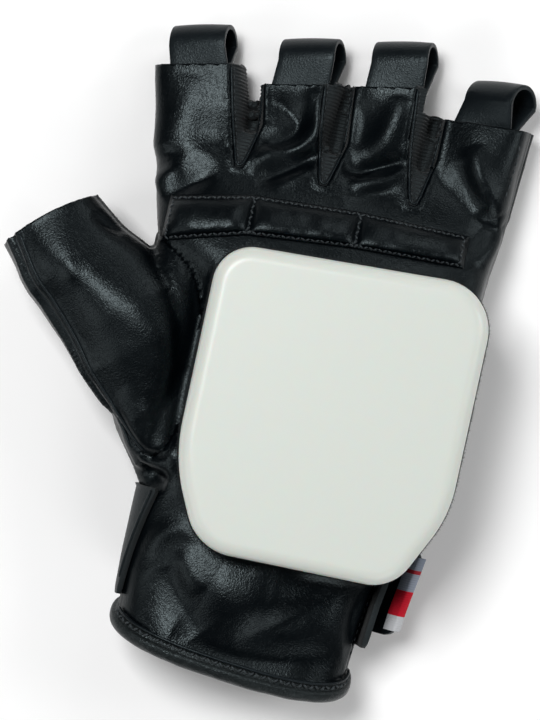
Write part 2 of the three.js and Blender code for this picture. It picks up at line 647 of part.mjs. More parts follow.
/**
 * A loop's middle line, with the share of its twist: up the front leg, over the arch and back down to
 * where the second leg is sewn behind the first, inside the stall's palm side.
 */
function loopPath(rise) {
  const half = (LOOP_DEPTH - LOOP_BAND) / 2;
  const straight = rise - LOOP_BAND / 2 - half;
  const behind = half - LOOP_BAND - SEAM_GAP;
  const arch = Array.from({ length: ARCH_STEPS + 1 }, (_, k) => {
    const angle = (Math.PI * k) / ARCH_STEPS;
    return { along: straight + half * Math.sin(angle), up: half * Math.cos(angle), twist: 1 };
  });
  return [
    { along: -LOOP_LEG, up: half, twist: 0 },
    { along: SEAM_GAP, up: half, twist: 0 },
    ...arch,
    { along: SEAM_GAP, up: lerp(behind, -half, LOOP_SEWN / LOOP_LEG), twist: 0.4 },
    { along: LOOP_SEWN - LOOP_LEG, up: behind, twist: 0 },
    { along: -LOOP_LEG, up: behind, twist: 0 },
  ];
}

function pullLoop(finger) {
  const tip = stallSections(finger).at(-1);
  const path = loopPath(LOOP_RISE * finger.loopRise);
  const side = (offset) =>
    path.map(({ along, up, twist }, k) => {
      const [before, after] = [path[Math.max(k - 1, 0)], path[Math.min(k + 1, path.length - 1)]];
      const normal = new THREE.Vector2(before.up - after.up, after.along - before.along).normalize();
      const turn = new THREE.Matrix4().makeRotationY(radians((finger.roll - finger.loopRoll) * twist));
      const frame = tip.frame.clone().multiply(turn);
      const drift = Math.min(along, 0) * Math.tan(radians(finger.cut)) + twist * finger.loopShift * LOOP_WIDTH;
      return [-0.5, 0.5].map((share) =>
        place(frame, share * LOOP_WIDTH + drift, along + offset * normal.x, up + offset * normal.y),
      );
    });
  return sheet(side(-LOOP_BAND / 2), side(LOOP_BAND / 2));
}

// Pad, patches and puck

/** The pad's outline between two stations, drawn in by margin. */
function padOutline(stations, margin) {
  const across = (row, by) => row.across * PALM_WIDTH + by;
  const along = (share, by) => CUFF_LENGTH + share * PALM_LENGTH + by;
  const inward = (i) => (i === 0 ? margin : i === stations.length - 1 ? -margin : 0);
  const low = stations.map((row, i) => [across(row, inward(i)), along(row.low, margin)]);
  const high = stations.map((row, i) => [across(row, inward(i)), along(row.high, -margin)]);
  return [...low, ...high.reverse()];
}

function quiltedPad() {
  const layer = (rise, outline) =>
    handBody(SEAM_GAP + rise, 0)
      .subtract(handBody(SEAM_GAP, 0))
      .intersect(prism(outline, PALM_DEPTH / 2, FAR));
  const cells = PAD_STATIONS.slice(1).flatMap((station, i) => {
    const ends = [PAD_STATIONS[i], station];
    return [
      layer(PAD_CELL_RISE * 0.75, padOutline(ends, PAD_MARGIN)),
      layer(PAD_CELL_RISE, padOutline(ends, PAD_MARGIN * 1.6)),
    ];
  });
  return join([layer(PAD_SKIN, padOutline(PAD_STATIONS, 0)), ...cells]);
}

/** The puck's rounded outline, drawn in by inset, as [x, y] points. */
function puckOutline(inset) {
  const centre = [PUCK_CENTRE.across * PALM_WIDTH, CUFF_LENGTH + PUCK_CENTRE.along * PALM_LENGTH];
  const corners = PUCK_CORNERS.map((row) => ({
    at: new THREE.Vector2(centre[0] + row.across * PUCK_WIDTH, centre[1] + row.along * PUCK_LENGTH),
    radius: row.radius * PUCK_WIDTH,
  }));
  return corners.flatMap(({ at, radius }, i) => {
    const before = corners.at(i - 1).at.clone().sub(at).normalize();
    const after = corners[(i + 1) % corners.length].at.clone().sub(at).normalize();
    const half = Math.acos(before.dot(after)) / 2;
    const middle = at.clone().addScaledVector(before.clone().add(after).normalize(), radius / Math.sin(half));
    const start = Math.atan2(-before.x, before.y);
    const sweep = Math.PI - 2 * half;
    return Array.from({ length: CORNER_STEPS + 1 }, (_, k) => {
      const angle = start - (sweep * k) / CORNER_STEPS;
      return [middle.x + (radius - inset) * Math.cos(angle), middle.y + (radius - inset) * Math.sin(angle)];
    });
  });
}

const loopPatchLow = PALM_DEPTH + SEAM_GAP;
const hookPatchLow = loopPatchLow + PATCH_THICK + SEAM_GAP;
const puckLow = hookPatchLow + PATCH_THICK + SEAM_GAP;

function puck() {
  const top = puckLow + PUCK_THICK;
  const round = Array.from({ length: EDGE_STEPS + 1 }, (_, k) => {
    const angle = (Math.PI / 2) * (k / EDGE_STEPS);
    return { inset: PUCK_EDGE * (1 - Math.cos(angle)), z: top - PUCK_EDGE * (1 - Math.sin(angle)) };
  });
  const profile = [{ inset: PUCK_BACK_EDGE, z: puckLow }, { inset: 0, z: puckLow + PUCK_BACK_EDGE }, ...round];
  return loft(profile.map(({ inset, z }) => puckOutline(inset).map(([x, y]) => [x, y, z])));
}

const hookPatch = () => prism(puckOutline(HOOK_INSET), hookPatchLow, hookPatchLow + PATCH_THICK);
const loopPatch = () => prism(puckOutline(-PATCH_BORDER), loopPatchLow, loopPatchLow + PATCH_THICK);

// Wrist strap, its tab and the ribbon label

const strapInner = SEAM_GAP * 1.5; // offsets from the cuff's surface
const tabInner = strapInner + STRAP_THICK + SEAM_GAP * 1.5;
const labelInner = tabInner - SEAM_GAP;

/** A band's middle line at y: round the cuff, then out in a curve and a short straight end. */
function bandLine(band, y) {
  const section = handSectionAt(y);
  const wrap = Array.from({ length: band.steps + 1 }, (_, k) => {
    const [x, , z] = handPoint(section, radians(lerp(band.from, band.to, k / band.steps)), 0);
    return new THREE.Vector2(x, z);
  });
  const start = wrap.at(-1);
  const tangent = start.clone().sub(wrap.at(-2)).normalize();
  const end = start.clone().add(new THREE.Vector2(band.out, band.rise));
  const bend = start.clone().addScaledVector(tangent, Math.min(band.out, band.rise) * 0.7);
  const straight = end.clone().sub(bend).normalize();
  const before = end.clone().addScaledVector(straight, -LABEL_WRAP);
  const curve = new THREE.QuadraticBezierCurve(start, bend, before);
  return [...wrap, ...[0.33, 0.66, 1].map((share) => curve.getPoint(share)), end];
}

/** A point of a band's line moved out from the cuff by offset. */
function bandPoint(line, k, offset, y) {
  const ahead = line[Math.min(k + 1, line.length - 1)];
  const behind = line[Math.max(k - 1, 0)];
  const along = ahead.clone().sub(behind).normalize();
  return [line[k].x + along.y * offset, y, line[k].y - along.x * offset];
}

/** A band round the back of the cuff with a loose end whose corners are cut. */
function band(shape) {
  const layer = (offset) =>
    BAND_ROWS.map(({ share, cut }) => {
      const y = lerp(shape.low, shape.high, share);
      const line = bandLine(shape, y);
      const [before, end] = line.slice(-2);
      line[line.length - 1] = end.clone().lerp(before, (cut * shape.corner) / LABEL_WRAP);
      return line.map((_, k) => bandPoint(line, k, offset, y));
    });
  return sheet(layer(shape.inner), layer(shape.inner + shape.thick));
}

const strapHigh = STRAP_PLACE * CUFF_LENGTH;
const strapShape = {
  ...{ low: strapHigh - STRAP_WIDTH, high: strapHigh, inner: strapInner, thick: STRAP_THICK },
  ...{ corner: STRAP_CORNER, from: 172, to: 338, steps: 20, out: STRAP_FLARE, rise: STRAP_RISE },
};
const tabHigh = strapHigh - TAB_INSET;
const tabShape = {
  ...{ low: tabHigh - TAB_WIDTH, high: tabHigh, inner: tabInner, thick: TAB_THICK },
  ...{ corner: TAB_CORNER, from: 284, to: 325, steps: 6, out: TAB_FLARE, rise: TAB_RISE },
};
const clearOfHem = pastHem(HEM_ROLL / 2 + STRAP_TO_HEM);
const wristStrap = () => band(strapShape).intersect(clearOfHem);
const strapTab = () => band(tabShape).intersect(clearOfHem);

/** The ribbon, folded over the tab's loose edge. */
function ribbonLabel() {
  const middle = (tabShape.low + tabShape.high) / 2;
  const layer = (grow) =>
    [-0.5, 0.5].map((share) => {
      const y = middle + share * LABEL_WIDTH;
      const line = bandLine(tabShape, y);
      const [before, end] = line.slice(-2);
      const along = end.clone().sub(before).normalize();
      const near = labelInner - grow;
      const far = tabInner + TAB_THICK + SEAM_GAP + grow;
      const edge = SEAM_GAP + grow;
      return [
        [SEAM_GAP - LABEL_WRAP, near],
        [edge, near],
        [edge, far],
        [SEAM_GAP - LABEL_WRAP, far],
      ].map(([s, out]) => [end.x + along.x * s + along.y * out, y, end.y + along.y * s - along.x * out]);
    });
  return sheet(layer(0), layer(LABEL_THICK));
}

// Assembly

const LEATHER_BLACK = { color: 0x0c0e10, roughness: 0.42, metalness: 0 };
const RIBBED_BLACK = { color: 0x08090a, roughness: 0.85, metalness: 0 };
const BAND_BLACK = { color: 0x14171a, roughness: 0.7, metalness: 0 };
const HOOK_BLACK = { color: 0x101214, roughness: 0.95, metalness: 0 };
const RIBBON_WHITE = { color: 0xc9cbc8, roughness: 0.8, metalness: 0 };
const PUCK_WHITE = { color: 0xe2e8e1, roughness: 0.35, metalness: 0 };

/** A solid as a named three.js mesh. */
function meshOf(name, made, finish) {
  const data = made.getMesh();
  const geometry = new THREE.BufferGeometry();
  const positions = new Float32Array(data.numVert * 3);
  for (let v = 0; v < data.numVert; v++)
    for (let k = 0; k < 3; k++) positions[3 * v + k] = data.vertProperties[data.numProp * v + k];
  geometry.setAttribute("position", new THREE.BufferAttribute(positions, 3));
  geometry.setIndex(new THREE.BufferAttribute(new Uint32Array(data.triVerts), 1));
  geometry.computeVertexNormals();
  const mesh = new THREE.Mesh(geometry, new THREE.MeshStandardMaterial(finish));
  mesh.name = name;
  return mesh;
}

const glove = new THREE.Group();
glove.add(
  meshOf("palm_panel", palmPanel(), LEATHER_BLACK),
  meshOf("back_panel", backPanel(), LEATHER_BLACK),
  meshOf("thumb_front", thumbFront(), LEATHER_BLACK),
  meshOf("thumb_back", thumbBack(), LEATHER_BLACK),
  ...neighbours.map((pair) => meshOf(`gusset_${pair[0].name}_${pair[1].name}`, gusset(pair), RIBBED_BLACK)),
  ...FINGERS.map((finger) => meshOf(`pull_loop_${finger.name}`, pullLoop(finger), BAND_BLACK)),
  meshOf("quilted_pad", quiltedPad(), LEATHER_BLACK),
  meshOf("loop_patch", loopPatch(), HOOK_BLACK),
  meshOf("hook_patch", hookPatch(), HOOK_BLACK),
  meshOf("puck", puck(), PUCK_WHITE),
  meshOf("cuff_hem", hem(), LEATHER_BLACK),
  meshOf("wrist_strap", wristStrap(), BAND_BLACK),
  meshOf("strap_tab", strapTab(), BAND_BLACK),
  meshOf("ribbon_label", ribbonLabel(), RIBBON_WHITE),
);

// The origin is under the middle of the glove, on the surface that it lies on.
const box = new THREE.Box3().setFromObject(glove);
glove.position.set(-(box.min.x + box.max.x) / 2, -(box.min.y + box.max.y) / 2, -box.min.z);

export default glove;
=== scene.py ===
# The look of a black leather slide glove for roller skating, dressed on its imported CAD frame.
# Shapes are worked out in millimetres in the hand's own axes: +Y from the wrist to the fingers, +X to the
# little finger and +Z out of the palm. They are moved onto the frame and turned into metres at the end.
import math

import bmesh
import bpy
import numpy as np
from mathutils import Matrix, Vector, noise
from mathutils.bvhtree import BVHTree


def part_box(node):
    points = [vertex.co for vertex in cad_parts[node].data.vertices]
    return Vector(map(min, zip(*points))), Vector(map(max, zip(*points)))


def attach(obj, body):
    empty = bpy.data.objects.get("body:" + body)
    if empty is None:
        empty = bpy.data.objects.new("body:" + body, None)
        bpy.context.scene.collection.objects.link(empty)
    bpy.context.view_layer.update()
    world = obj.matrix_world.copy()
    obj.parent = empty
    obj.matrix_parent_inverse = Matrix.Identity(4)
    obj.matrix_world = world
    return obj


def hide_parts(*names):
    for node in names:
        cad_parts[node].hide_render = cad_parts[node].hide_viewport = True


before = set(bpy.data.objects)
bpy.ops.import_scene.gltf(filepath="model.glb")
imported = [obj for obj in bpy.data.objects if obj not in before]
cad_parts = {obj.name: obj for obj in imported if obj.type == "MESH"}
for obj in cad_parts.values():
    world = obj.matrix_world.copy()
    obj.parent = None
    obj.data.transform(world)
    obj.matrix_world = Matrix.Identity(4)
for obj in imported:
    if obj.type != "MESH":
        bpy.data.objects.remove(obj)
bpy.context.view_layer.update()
MM = 0.001

# Driving sizes of the glove, as in the part's source
LEATHER = 1.6
SEAM_GAP = 0.3
CUFF_LENGTH, CUFF_WIDTH, CUFF_DEPTH = 50, 79, 35.5
PALM_LENGTH, PALM_WIDTH, PALM_DEPTH = 104, 115, 40.5
FINGER_LENGTH, FINGER_WIDTH, FINGER_DEPTH = 31.5, 30, 23
FINGER_OVERLAP = 22
THUMB_LENGTH, THUMB_WIDTH, THUMB_DEPTH = 79, 34, 28
THUMB_SPREAD, THUMB_SEAM_TILT = 41, 20
HEM_LEAN, HEM_SKEW, HEM_ROLL = 22, 5, 6.4
GUSSET_DROP = 10
LOOP_WIDTH, LOOP_DEPTH, LOOP_RISE, LOOP_LEG, LOOP_SEWN, LOOP_BAND = 19, 14.4, 15.5, 10, 4, 1.5
PUCK_WIDTH, PUCK_LENGTH, PUCK_THICK, PUCK_EDGE = 90, 101, 12, 4.5
PATCH_THICK, PATCH_BORDER, HOOK_INSET = 1.5, 0.8, 1.5
STRAP_WIDTH, STRAP_THICK, STRAP_PLACE, STRAP_FLARE, STRAP_RISE = 36, 1.9, 0.9, 3, 14
TAB_WIDTH, TAB_THICK, TAB_FLARE, TAB_RISE = 29, 2, 14, 11
LABEL_WIDTH, LABEL_THICK, LABEL_WRAP = 25, 0.7, 4
STRAP_CORNER, TAB_CORNER, TAB_INSET = 2, 4, 2
LOOP_ROUND, BAND_ROUND, LABEL_ROUND = 0.35, 0.3, 0.12  # of the bands' edges

CUFF_SECTIONS = [  # along, left, right, floor, top, power
    (-0.6, 0.48, 0.465, 0, 1, 2.5),
    (0.06, 0.492, 0.48, 0, 1, 2.5),
    (0.45, 0.5, 0.5, 0, 1, 2.6),
    (0.88, 0.5, 0.54, 0, 1, 2.7),
]
PALM_SECTIONS = [  # along, left, right, floor, top, power
    (0.04, 0.41, 0.39, 0.07, 1, 3.2),
    (0.1, 0.455, 0.405, 0.04, 1, 3.4),
    (0.16, 0.472, 0.42, 0.02, 1, 3.7),
    (0.38, 0.478, 0.452, -0.01, 1, 4.3),
    (0.58, 0.465, 0.465, -0.01, 1, 4.3),
    (0.7, 0.455, 0.47, -0.01, 0.98, 4),
    (0.81, 0.478, 0.476, -0.01, 0.87, 3.6),
    (0.93, 0.506, 0.494, -0.01, 0.7, 3.2),
    (1.03, 0.528, 0.497, -0.01, 0.61, 3),
    (1.1, 0.53, 0.497, 0.02, 0.5, 2.8),
]
FINGER_COLUMNS = ("base", "middle", "tip", "reach", "widths", "cut", "roll", "loop")
FINGER_ROWS = {  # places are shares of PALM_WIDTH, reach of FINGER_LENGTH; loop has roll, shift and rise
    "index": (-0.403, -0.41, -0.44, 0.9, (0.98, 1.04, 0.97), 12, 12, (18, 0, 0.86)),
    "middle": (-0.156, -0.141, -0.148, 0.92, (0.95, 0.84, 0.98), 11, 10, (18, 0.14, 1)),
    "ring": (0.093, 0.113, 0.113, 1.1, (1, 0.9, 0.93), 10, 10, (18, 0.12, 1)),
    "little": (0.363, 0.377, 0.386, 0.92, (1.06, 1, 1), 3, 16, (40, 0.2, 0.97)),
}
FINGERS = {name: dict(zip(FINGER_COLUMNS, row)) for name, row in FINGER_ROWS.items()}
STALL_FOOT, STALL_MIDDLE, STALL_TIP_DEPTH, STALL_POWER = 0.82, 0.47, 0.9, 4
ROOT_TURN, ROOT_ROLL, MIDDLE_TURN = 0.2, 0.4, 0.6  # shares of a stall's turn and roll that it has there
GUSSET_LEFT_SEAM, GUSSET_RIGHT_SEAM = 0.58, 0.9
GUSSET_LOW, GUSSET_SPREAD, GUSSET_SHOULDER = 0.2, 0.22, 0.35  # shares of GUSSET_DROP
GUSSET_PAST = 20  # how far a gusset's outline runs past the stalls' ends
THUMB_ROOT = (-0.313 * PALM_WIDTH, CUFF_LENGTH + 0.115 * PALM_LENGTH)
THUMB_SECTIONS = [  # reach, drift, width, depth, rise
    (-0.08, -0.08, 0.3, 0.5, 0.62),
    (0.03, 0.08, 0.66, 0.8, 0.64),
    (0.19, 0.16, 0.97, 1.02, 0.66),
    (0.37, 0.206, 1.18, 1.1, 0.67),
    (0.53, 0.22, 1.24, 1.1, 0.66),
    (0.7, 0.15, 1.17, 1.04, 0.63),
    (0.84, 0.044, 1.07, 1, 0.61),
    (1, 0, 1, 0.94, 0.58),
]
THUMB_POWER = 2.4
SIDE_SEAM = [  # along, left, right
    (-0.4, 0.62, 0.62),
    (0.3, 0.58, 0.66),
    (0.75, 0.46, 0.56),
    (0.95, 0.24, 0.38),
    (1.6, 0.16, 0.34),
]
PAD_STATIONS = [  # across, low, high
    (-0.445, 0.7, 0.85),
    (-0.212, 0.775, 0.905),
    (0.088, 0.808, 0.925),
    (0.4, 0.822, 0.925),
]
PUCK_CENTRE = (0.113 * PALM_WIDTH, CUFF_LENGTH + 0.293 * PALM_LENGTH)
PUCK_CORNERS = [  # across, along, radius
    (-0.497, 0.456, 0.14),
    (0.493, 0.501, 0.18),
    (0.497, -0.228, 0.45),
    (0.355, -0.493, 0.16),
    (-0.347, -0.502, 0.19),
    (-0.49, -0.238, 0.6),
]

# The photograph: its scale on the palm's plane, and where the hand's origin and axis lie in it
PHOTO_SIZE = (540, 720)
PHOTO_SCALE = 0.32  # mm for each pixel
PHOTO_ORIGIN = (232, 650)
PHOTO_LEAN = math.radians(12.593)  # of the hand's axis, clockwise
CAMERA_HEIGHT = 1200
CAMERA_PLANE = 38  # height at which the scale holds
SENSOR = 24

# Mesh and detail
VOXEL = 1.0
SMOOTH_IN, SMOOTH_OUT = 0.5, -0.52  # steps of smoothing
SNAP_SHARE = 0.28  # of an edge, within which a cut moves a vertex onto itself
OPEN_PAST = 6  # how far a stall or the thumb runs past its open end before it is cut
TOP_STALL = CUFF_LENGTH + PALM_LENGTH  # place of the stalls' roots
ABOVE = 90  # a height over all of the glove


def from_photo(points):
    """Photo pixels as x, y on the palm in the hand's axes, in mm."""
    p = np.atleast_2d(np.array(points, float)) - PHOTO_ORIGIN
    c, s = math.cos(PHOTO_LEAN), math.sin(PHOTO_LEAN)
    return np.stack([(p[:, 0] * c + p[:, 1] * s), (p[:, 0] * s - p[:, 1] * c)], 1) * PHOTO_SCALE


puck_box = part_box("puck")
shift = np.array(
    [
        (puck_box[0][0] + puck_box[1][0]) / 2 / MM - PUCK_CENTRE[0],
        (puck_box[0][1] + puck_box[1][1]) / 2 / MM - PUCK_CENTRE[1],
        puck_box[1][2] / MM - (PALM_DEPTH + 3 * SEAM_GAP + 2 * PATCH_THICK + PUCK_THICK),
    ]
)


# Small helpers


def unit(rows):
    """Rows of vectors scaled to length one."""
    return rows / np.maximum(np.linalg.norm(rows, axis=1, keepdims=True), 1e-9)


def bell(gap, width):
    """One at no gap, falling smoothly to nothing over a few widths."""
    return np.exp(-((gap / width) ** 2))


def circle(sides):
    """Angles round a full turn."""
    return np.linspace(0, 2 * math.pi, sides, endpoint=False)


def look_up(table, at):
    """A table's further columns at places along its first one."""
    table = np.array(table, float)
    return np.stack([np.interp(at, table[:, 0], column) for column in table[:, 1:].T], -1)


def look_up_rows(table, at):
    """A table's columns at places counted in rows."""
    return look_up([(place, *row) for place, row in enumerate(table)], at)


def headings(line):
    """The direction of a line at each of its points."""
    ahead = line[np.minimum(np.arange(len(line)) + 1, len(line) - 1)]
    behind = line[np.maximum(np.arange(len(line)) - 1, 0)]
    return unit(ahead - behind)


# Meshes as arrays


def make_object(name, verts, faces, smooth=True):
    """A Blender object from points in mm in the hand's axes."""
    mesh = bpy.data.meshes.new(name)
    mesh.from_pydata(((np.asarray(verts) + shift) * MM).tolist(), [], [list(map(int, f)) for f in faces])
    mesh.validate()
    mesh.update()
    made = bpy.data.objects.new(name, mesh)
    bpy.context.scene.collection.objects.link(made)
    if smooth:
        mesh.shade_smooth()
    return made


def read_mesh(made):
    """An object's evaluated mesh as triangles in mm in the hand's axes."""
    graph = bpy.context.evaluated_depsgraph_get()
    mesh = bpy.data.meshes.new_from_object(made.evaluated_get(graph))
    mesh.calc_loop_triangles()
    verts = np.empty(len(mesh.vertices) * 3)
    mesh.vertices.foreach_get("co", verts)
    faces = np.empty(len(mesh.loop_triangles) * 3, int)
    mesh.loop_triangles.foreach_get("vertices", faces)
    bpy.data.meshes.remove(mesh)
    return verts.reshape(-1, 3) / MM - shift, faces.reshape(-1, 3)


def ring_faces(count, sides, closed=False):
    """Quads between rings of points, and a polygon at each end unless the rings close on themselves."""
    rows = count if closed else count - 1
    faces = []
    for i in range(rows):
        a, b = i * sides, (i + 1) % count * sides
        faces += [(a + j, a + (j + 1) % sides, b + (j + 1) % sides, b + j) for j in range(sides)]
    if not closed:
        faces.append(tuple(reversed(range(sides))))
        faces.append(tuple(range((count - 1) * sides, count * sides)))
    return faces


def tube(rings):
    """The closed form through rings of points."""
    return np.concatenate(rings), ring_faces(len(rings), len(rings[0]))


def outward(verts, faces):
    """The faces turned so that they face out of the closed form."""
    made = bmesh.new()
    points = [made.verts.new(v) for v in verts]
    for face in faces:
        made.faces.new([points[i] for i in face])
    bmesh.ops.recalc_face_normals(made, faces=made.faces)
    made.verts.index_update()
    turned = [tuple(v.index for v in face.verts) for face in made.faces]
    made.free()
    return turned


def sheet(inner, outer):
    """A closed sheet between two grids of points."""
    rows, columns = inner.shape[:2]
    layer = rows * columns
    faces = []
    for i in range(rows - 1):
        for j in range(columns - 1):
            a, b = i * columns + j, (i + 1) * columns + j
            faces += [(a, b, b + 1, a + 1), (layer + a, layer + a + 1, layer + b + 1, layer + b)]
    loop = list(range(columns))
    loop += [i * columns + columns - 1 for i in range(1, rows)]
    loop += [(rows - 1) * columns + j for j in range(columns - 2, -1, -1)]
    loop += [i * columns for i in range(rows - 2, 0, -1)]
    for a, b in zip(loop, loop[1:] + loop[:1]):
        faces.append((a, b, layer + b, layer + a))
    verts = np.concatenate([inner.reshape(-1, 3), outer.reshape(-1, 3)])
    return verts, outward(verts, faces)


def edges_of(faces):
    """The three edges of each triangle."""
    return np.concatenate([faces[:, [0, 1]], faces[:, [1, 2]], faces[:, [2, 0]]])


def normals_of(verts, faces):
    """The normal at each vertex."""
    a, b, c = (verts[faces[:, k]] for k in range(3))
    cross = np.cross(b - a, c - a)
    total = np.zeros_like(verts)
    for k in range(3):
        np.add.at(total, faces[:, k], cross)
    return unit(total)


def relax(verts, faces, rounds):
    """Smooths a triangle mesh without shrinking it much, by steps in and smaller steps out."""
    edges = edges_of(faces)
    start, end = np.concatenate([edges, edges[:, ::-1]]).T
    count = np.bincount(start, minlength=len(verts))[:, None]
    for step in range(rounds * 2):
        total = [np.bincount(start, weights=verts[end, k], minlength=len(verts)) for k in range(3)]
        mean = np.stack(total, 1) / np.maximum(count, 1)
        verts = verts + (SMOOTH_IN if step % 2 == 0 else SMOOTH_OUT) * (mean - verts)
    return verts


def snapped(verts, faces, field):
    """Moves each vertex close to the zero line of a field onto it, so that a cut there leaves no slivers."""
    a, b = np.unique(np.sort(edges_of(faces), axis=1), axis=0).T
    crossed = (field[a] > 0) != (field[b] > 0)
    a, b = a[crossed], b[crossed]
    share = field[a] / (field[a] - field[b])
    here, there, share = np.concatenate([a, b]), np.concatenate([b, a]), np.concatenate([share, 1 - share])
    order = np.argsort(-share)
    order = order[share[order] < SNAP_SHARE]
    here, there, share = here[order], there[order], share[order]
    moved, placed = verts.copy(), field.copy()
    moved[here] = verts[here] + share[:, None] * (verts[there] - verts[here])
    placed[here] = 1e-6
    return moved, placed


def cut(verts, faces, field):
    """Splits triangles along the zero line of a field of the vertices, and says which faces lie above it."""
    verts, field = snapped(verts, faces, np.where(np.abs(field) < 1e-6, 1e-6, field))
    up = field > 0
    sides = up[faces]
    mixed = sides.any(1) & ~sides.all(1)
    whole = faces[~mixed]
    torn = faces[mixed]
    torn_up = up[torn]
    lone_up = torn_up.sum(1) == 1
    lone = np.where(lone_up[:, None], torn_up, ~torn_up).argmax(1)
    rows = np.arange(len(torn))
    a, b, c = torn[rows, lone], torn[rows, (lone + 1) % 3], torn[rows, (lone + 2) % 3]
    pairs = np.sort(np.concatenate([np.stack([a, b], 1), np.stack([a, c], 1)]), axis=1)
    unique, place = np.unique(pairs, axis=0, return_inverse=True)
    place = place.reshape(-1)
    share = field[unique[:, 0]] / (field[unique[:, 0]] - field[unique[:, 1]])
    new = verts[unique[:, 0]] + share[:, None] * (verts[unique[:, 1]] - verts[unique[:, 0]])
    p, q = len(verts) + place[: len(torn)], len(verts) + place[len(torn) :]
    made = np.concatenate([whole, np.stack([a, p, q], 1), np.stack([p, b, c], 1), np.stack([p, c, q], 1)])
    above = np.concatenate([up[whole[:, 0]], lone_up, ~lone_up, ~lone_up])
    everything = np.concatenate([verts, new])
    _, first, same = np.unique(np.round(everything, 3), axis=0, return_index=True, return_inverse=True)
    made = same.reshape(-1)[made]
    solid = (made[:, 0] != made[:, 1]) & (made[:, 1] != made[:, 2]) & (made[:, 2] != made[:, 0])
    return everything[first], made[solid], above[solid]


def only(verts, faces):
    """The faces with just the vertices that they use."""
    used, flat = np.unique(faces, return_inverse=True)
    return verts[used], flat.reshape(-1, 3)


def largest(verts, faces):
    """The largest connected part of a triangle mesh."""
    label = np.arange(len(verts))
    for _ in range(400):
        low = label[faces].min(1)
        new = label.copy()
        for k in range(3):
            np.minimum.at(new, faces[:, k], low)
        new = new[new]
        if (new == label).all():
            break
        label = new
    ids, counts = np.unique(label[faces[:, 0]], return_counts=True)
    return only(verts, faces[label[faces[:, 0]] == ids[counts.argmax()]])


# The hand's form


def hand_params(ys):
    """Left, right, floor, top and power of the hand's oval at each place along it."""
    base = PALM_DEPTH - CUFF_DEPTH
    rows = []
    for start, length, width, low, depth, sections in (
        (0, CUFF_LENGTH, CUFF_WIDTH, base, CUFF_DEPTH, CUFF_SECTIONS),
        (CUFF_LENGTH, PALM_LENGTH, PALM_WIDTH, 0, PALM_DEPTH, PALM_SECTIONS),
    ):
        for along, left, right, floor, top, power in sections:
            rows.append((start + along * length, left * width, right * width, low + floor * depth,
                         low + top * depth, power))
    return look_up(rows, ys)


def oval(angle, left, right, depth, power):
    """A point of a rounded box with its own half width at each side."""
    c, s = np.cos(angle), np.sin(angle)
    reach = (np.abs(c) ** power + np.abs(s) ** power) ** (-1 / power)
    return np.where(c < 0, left, right) * reach * c, depth * reach * s


def hand_point(y, angle, grow):
    """A point round the hand, or grow outside of it."""
    left, right, floor, top, power = hand_params(y)
    x, z = oval(angle, left + grow, right + grow, (top - floor) / 2 + grow, power)
    return np.array([x, y, (floor + top) / 2 + z])


def hand_form(sides=120):
    """The hand from cuff to finger roots, its table's values blended along it."""
    low, high = CUFF_SECTIONS[0][0] * CUFF_LENGTH, CUFF_LENGTH + PALM_SECTIONS[-1][0] * PALM_LENGTH
    ys = np.linspace(low, high, 100)
    params = hand_params(ys)
    kernel = np.exp(-np.linspace(-2, 2, 9) ** 2)
    padded = np.concatenate([params[:1].repeat(4, 0), params, params[-1:].repeat(4, 0)])
    params = np.stack([np.convolve(padded[:, k], kernel / kernel.sum(), "valid") for k in range(5)], 1)
    rings = []
    for y, (left, right, floor, top, power) in zip(ys, params):
        x, z = oval(circle(sides), left, right, (top - floor) / 2, power)
        rings.append(np.stack([x, np.full(sides, y), (floor + top) / 2 + z], 1))
    return tube(rings)


def turn_z(degrees):
    """A turn about the upright axis."""
    return np.array(Matrix.Rotation(math.radians(degrees), 3, "Z"))


def turn_y(degrees):
    """A turn about the hand's long axis."""
    return np.array(Matrix.Rotation(math.radians(degrees), 3, "Y"))


def stall_rows(finger):
    """Place, heading, roll, half width and half depth of a stall's sections."""
    widths = [v * FINGER_WIDTH / 2 for v in finger["widths"]]
    depth, roll, cut_turn = FINGER_DEPTH / 2, finger["roll"], finger["cut"]
    base, middle, tip = (finger[key] * PALM_WIDTH for key in ("base", "middle", "tip"))
    foot = finger["base"] * STALL_FOOT * PALM_WIDTH
    half_way = TOP_STALL + STALL_MIDDLE * FINGER_LENGTH
    end = TOP_STALL + finger["reach"] * FINGER_LENGTH
    return np.array(
        [
            (foot, TOP_STALL - FINGER_OVERLAP, 0, 0, widths[0] * STALL_FOOT, depth * STALL_FOOT / 2),
            (base, TOP_STALL, ROOT_TURN * cut_turn, ROOT_ROLL * roll, widths[0], depth),
            (middle, half_way, MIDDLE_TURN * cut_turn, roll, widths[1], depth),
            (tip, end, cut_turn, roll, widths[2], depth * STALL_TIP_DEPTH),
        ]
    )


def stall_frame(row):
    """The middle of a stall's section and the turn of its axes."""
    return np.array([row[0], row[1], FINGER_DEPTH / 2]), turn_z(row[2]) @ turn_y(-row[3])


def stall_point(row, x, y, z):
    """A point of a stall's section frame in the hand's axes."""
    middle, turn = stall_frame(row)
    return middle + np.stack([x, y, z], -1) @ turn.T


def stall_form(finger, sides=64):
    """A finger's stall, a little past its open end."""
    rows = stall_rows(finger)
    dense = np.concatenate([np.linspace(rows[i], rows[i + 1], 9)[: 9 if i == 2 else 8] for i in range(3)])
    rings = []
    for row, past in [*((row, 0) for row in dense), (dense[-1], OPEN_PAST)]:
        x, z = oval(circle(sides), row[4], row[4], row[5], STALL_POWER)
        rings.append(stall_point(row, x, 0 * x + past, z))
    return tube(rings)


def thumb_axes():
    """The thumb's root and the turn of its axes."""
    return np.array([*THUMB_ROOT, 0]), turn_z(THUMB_SPREAD)


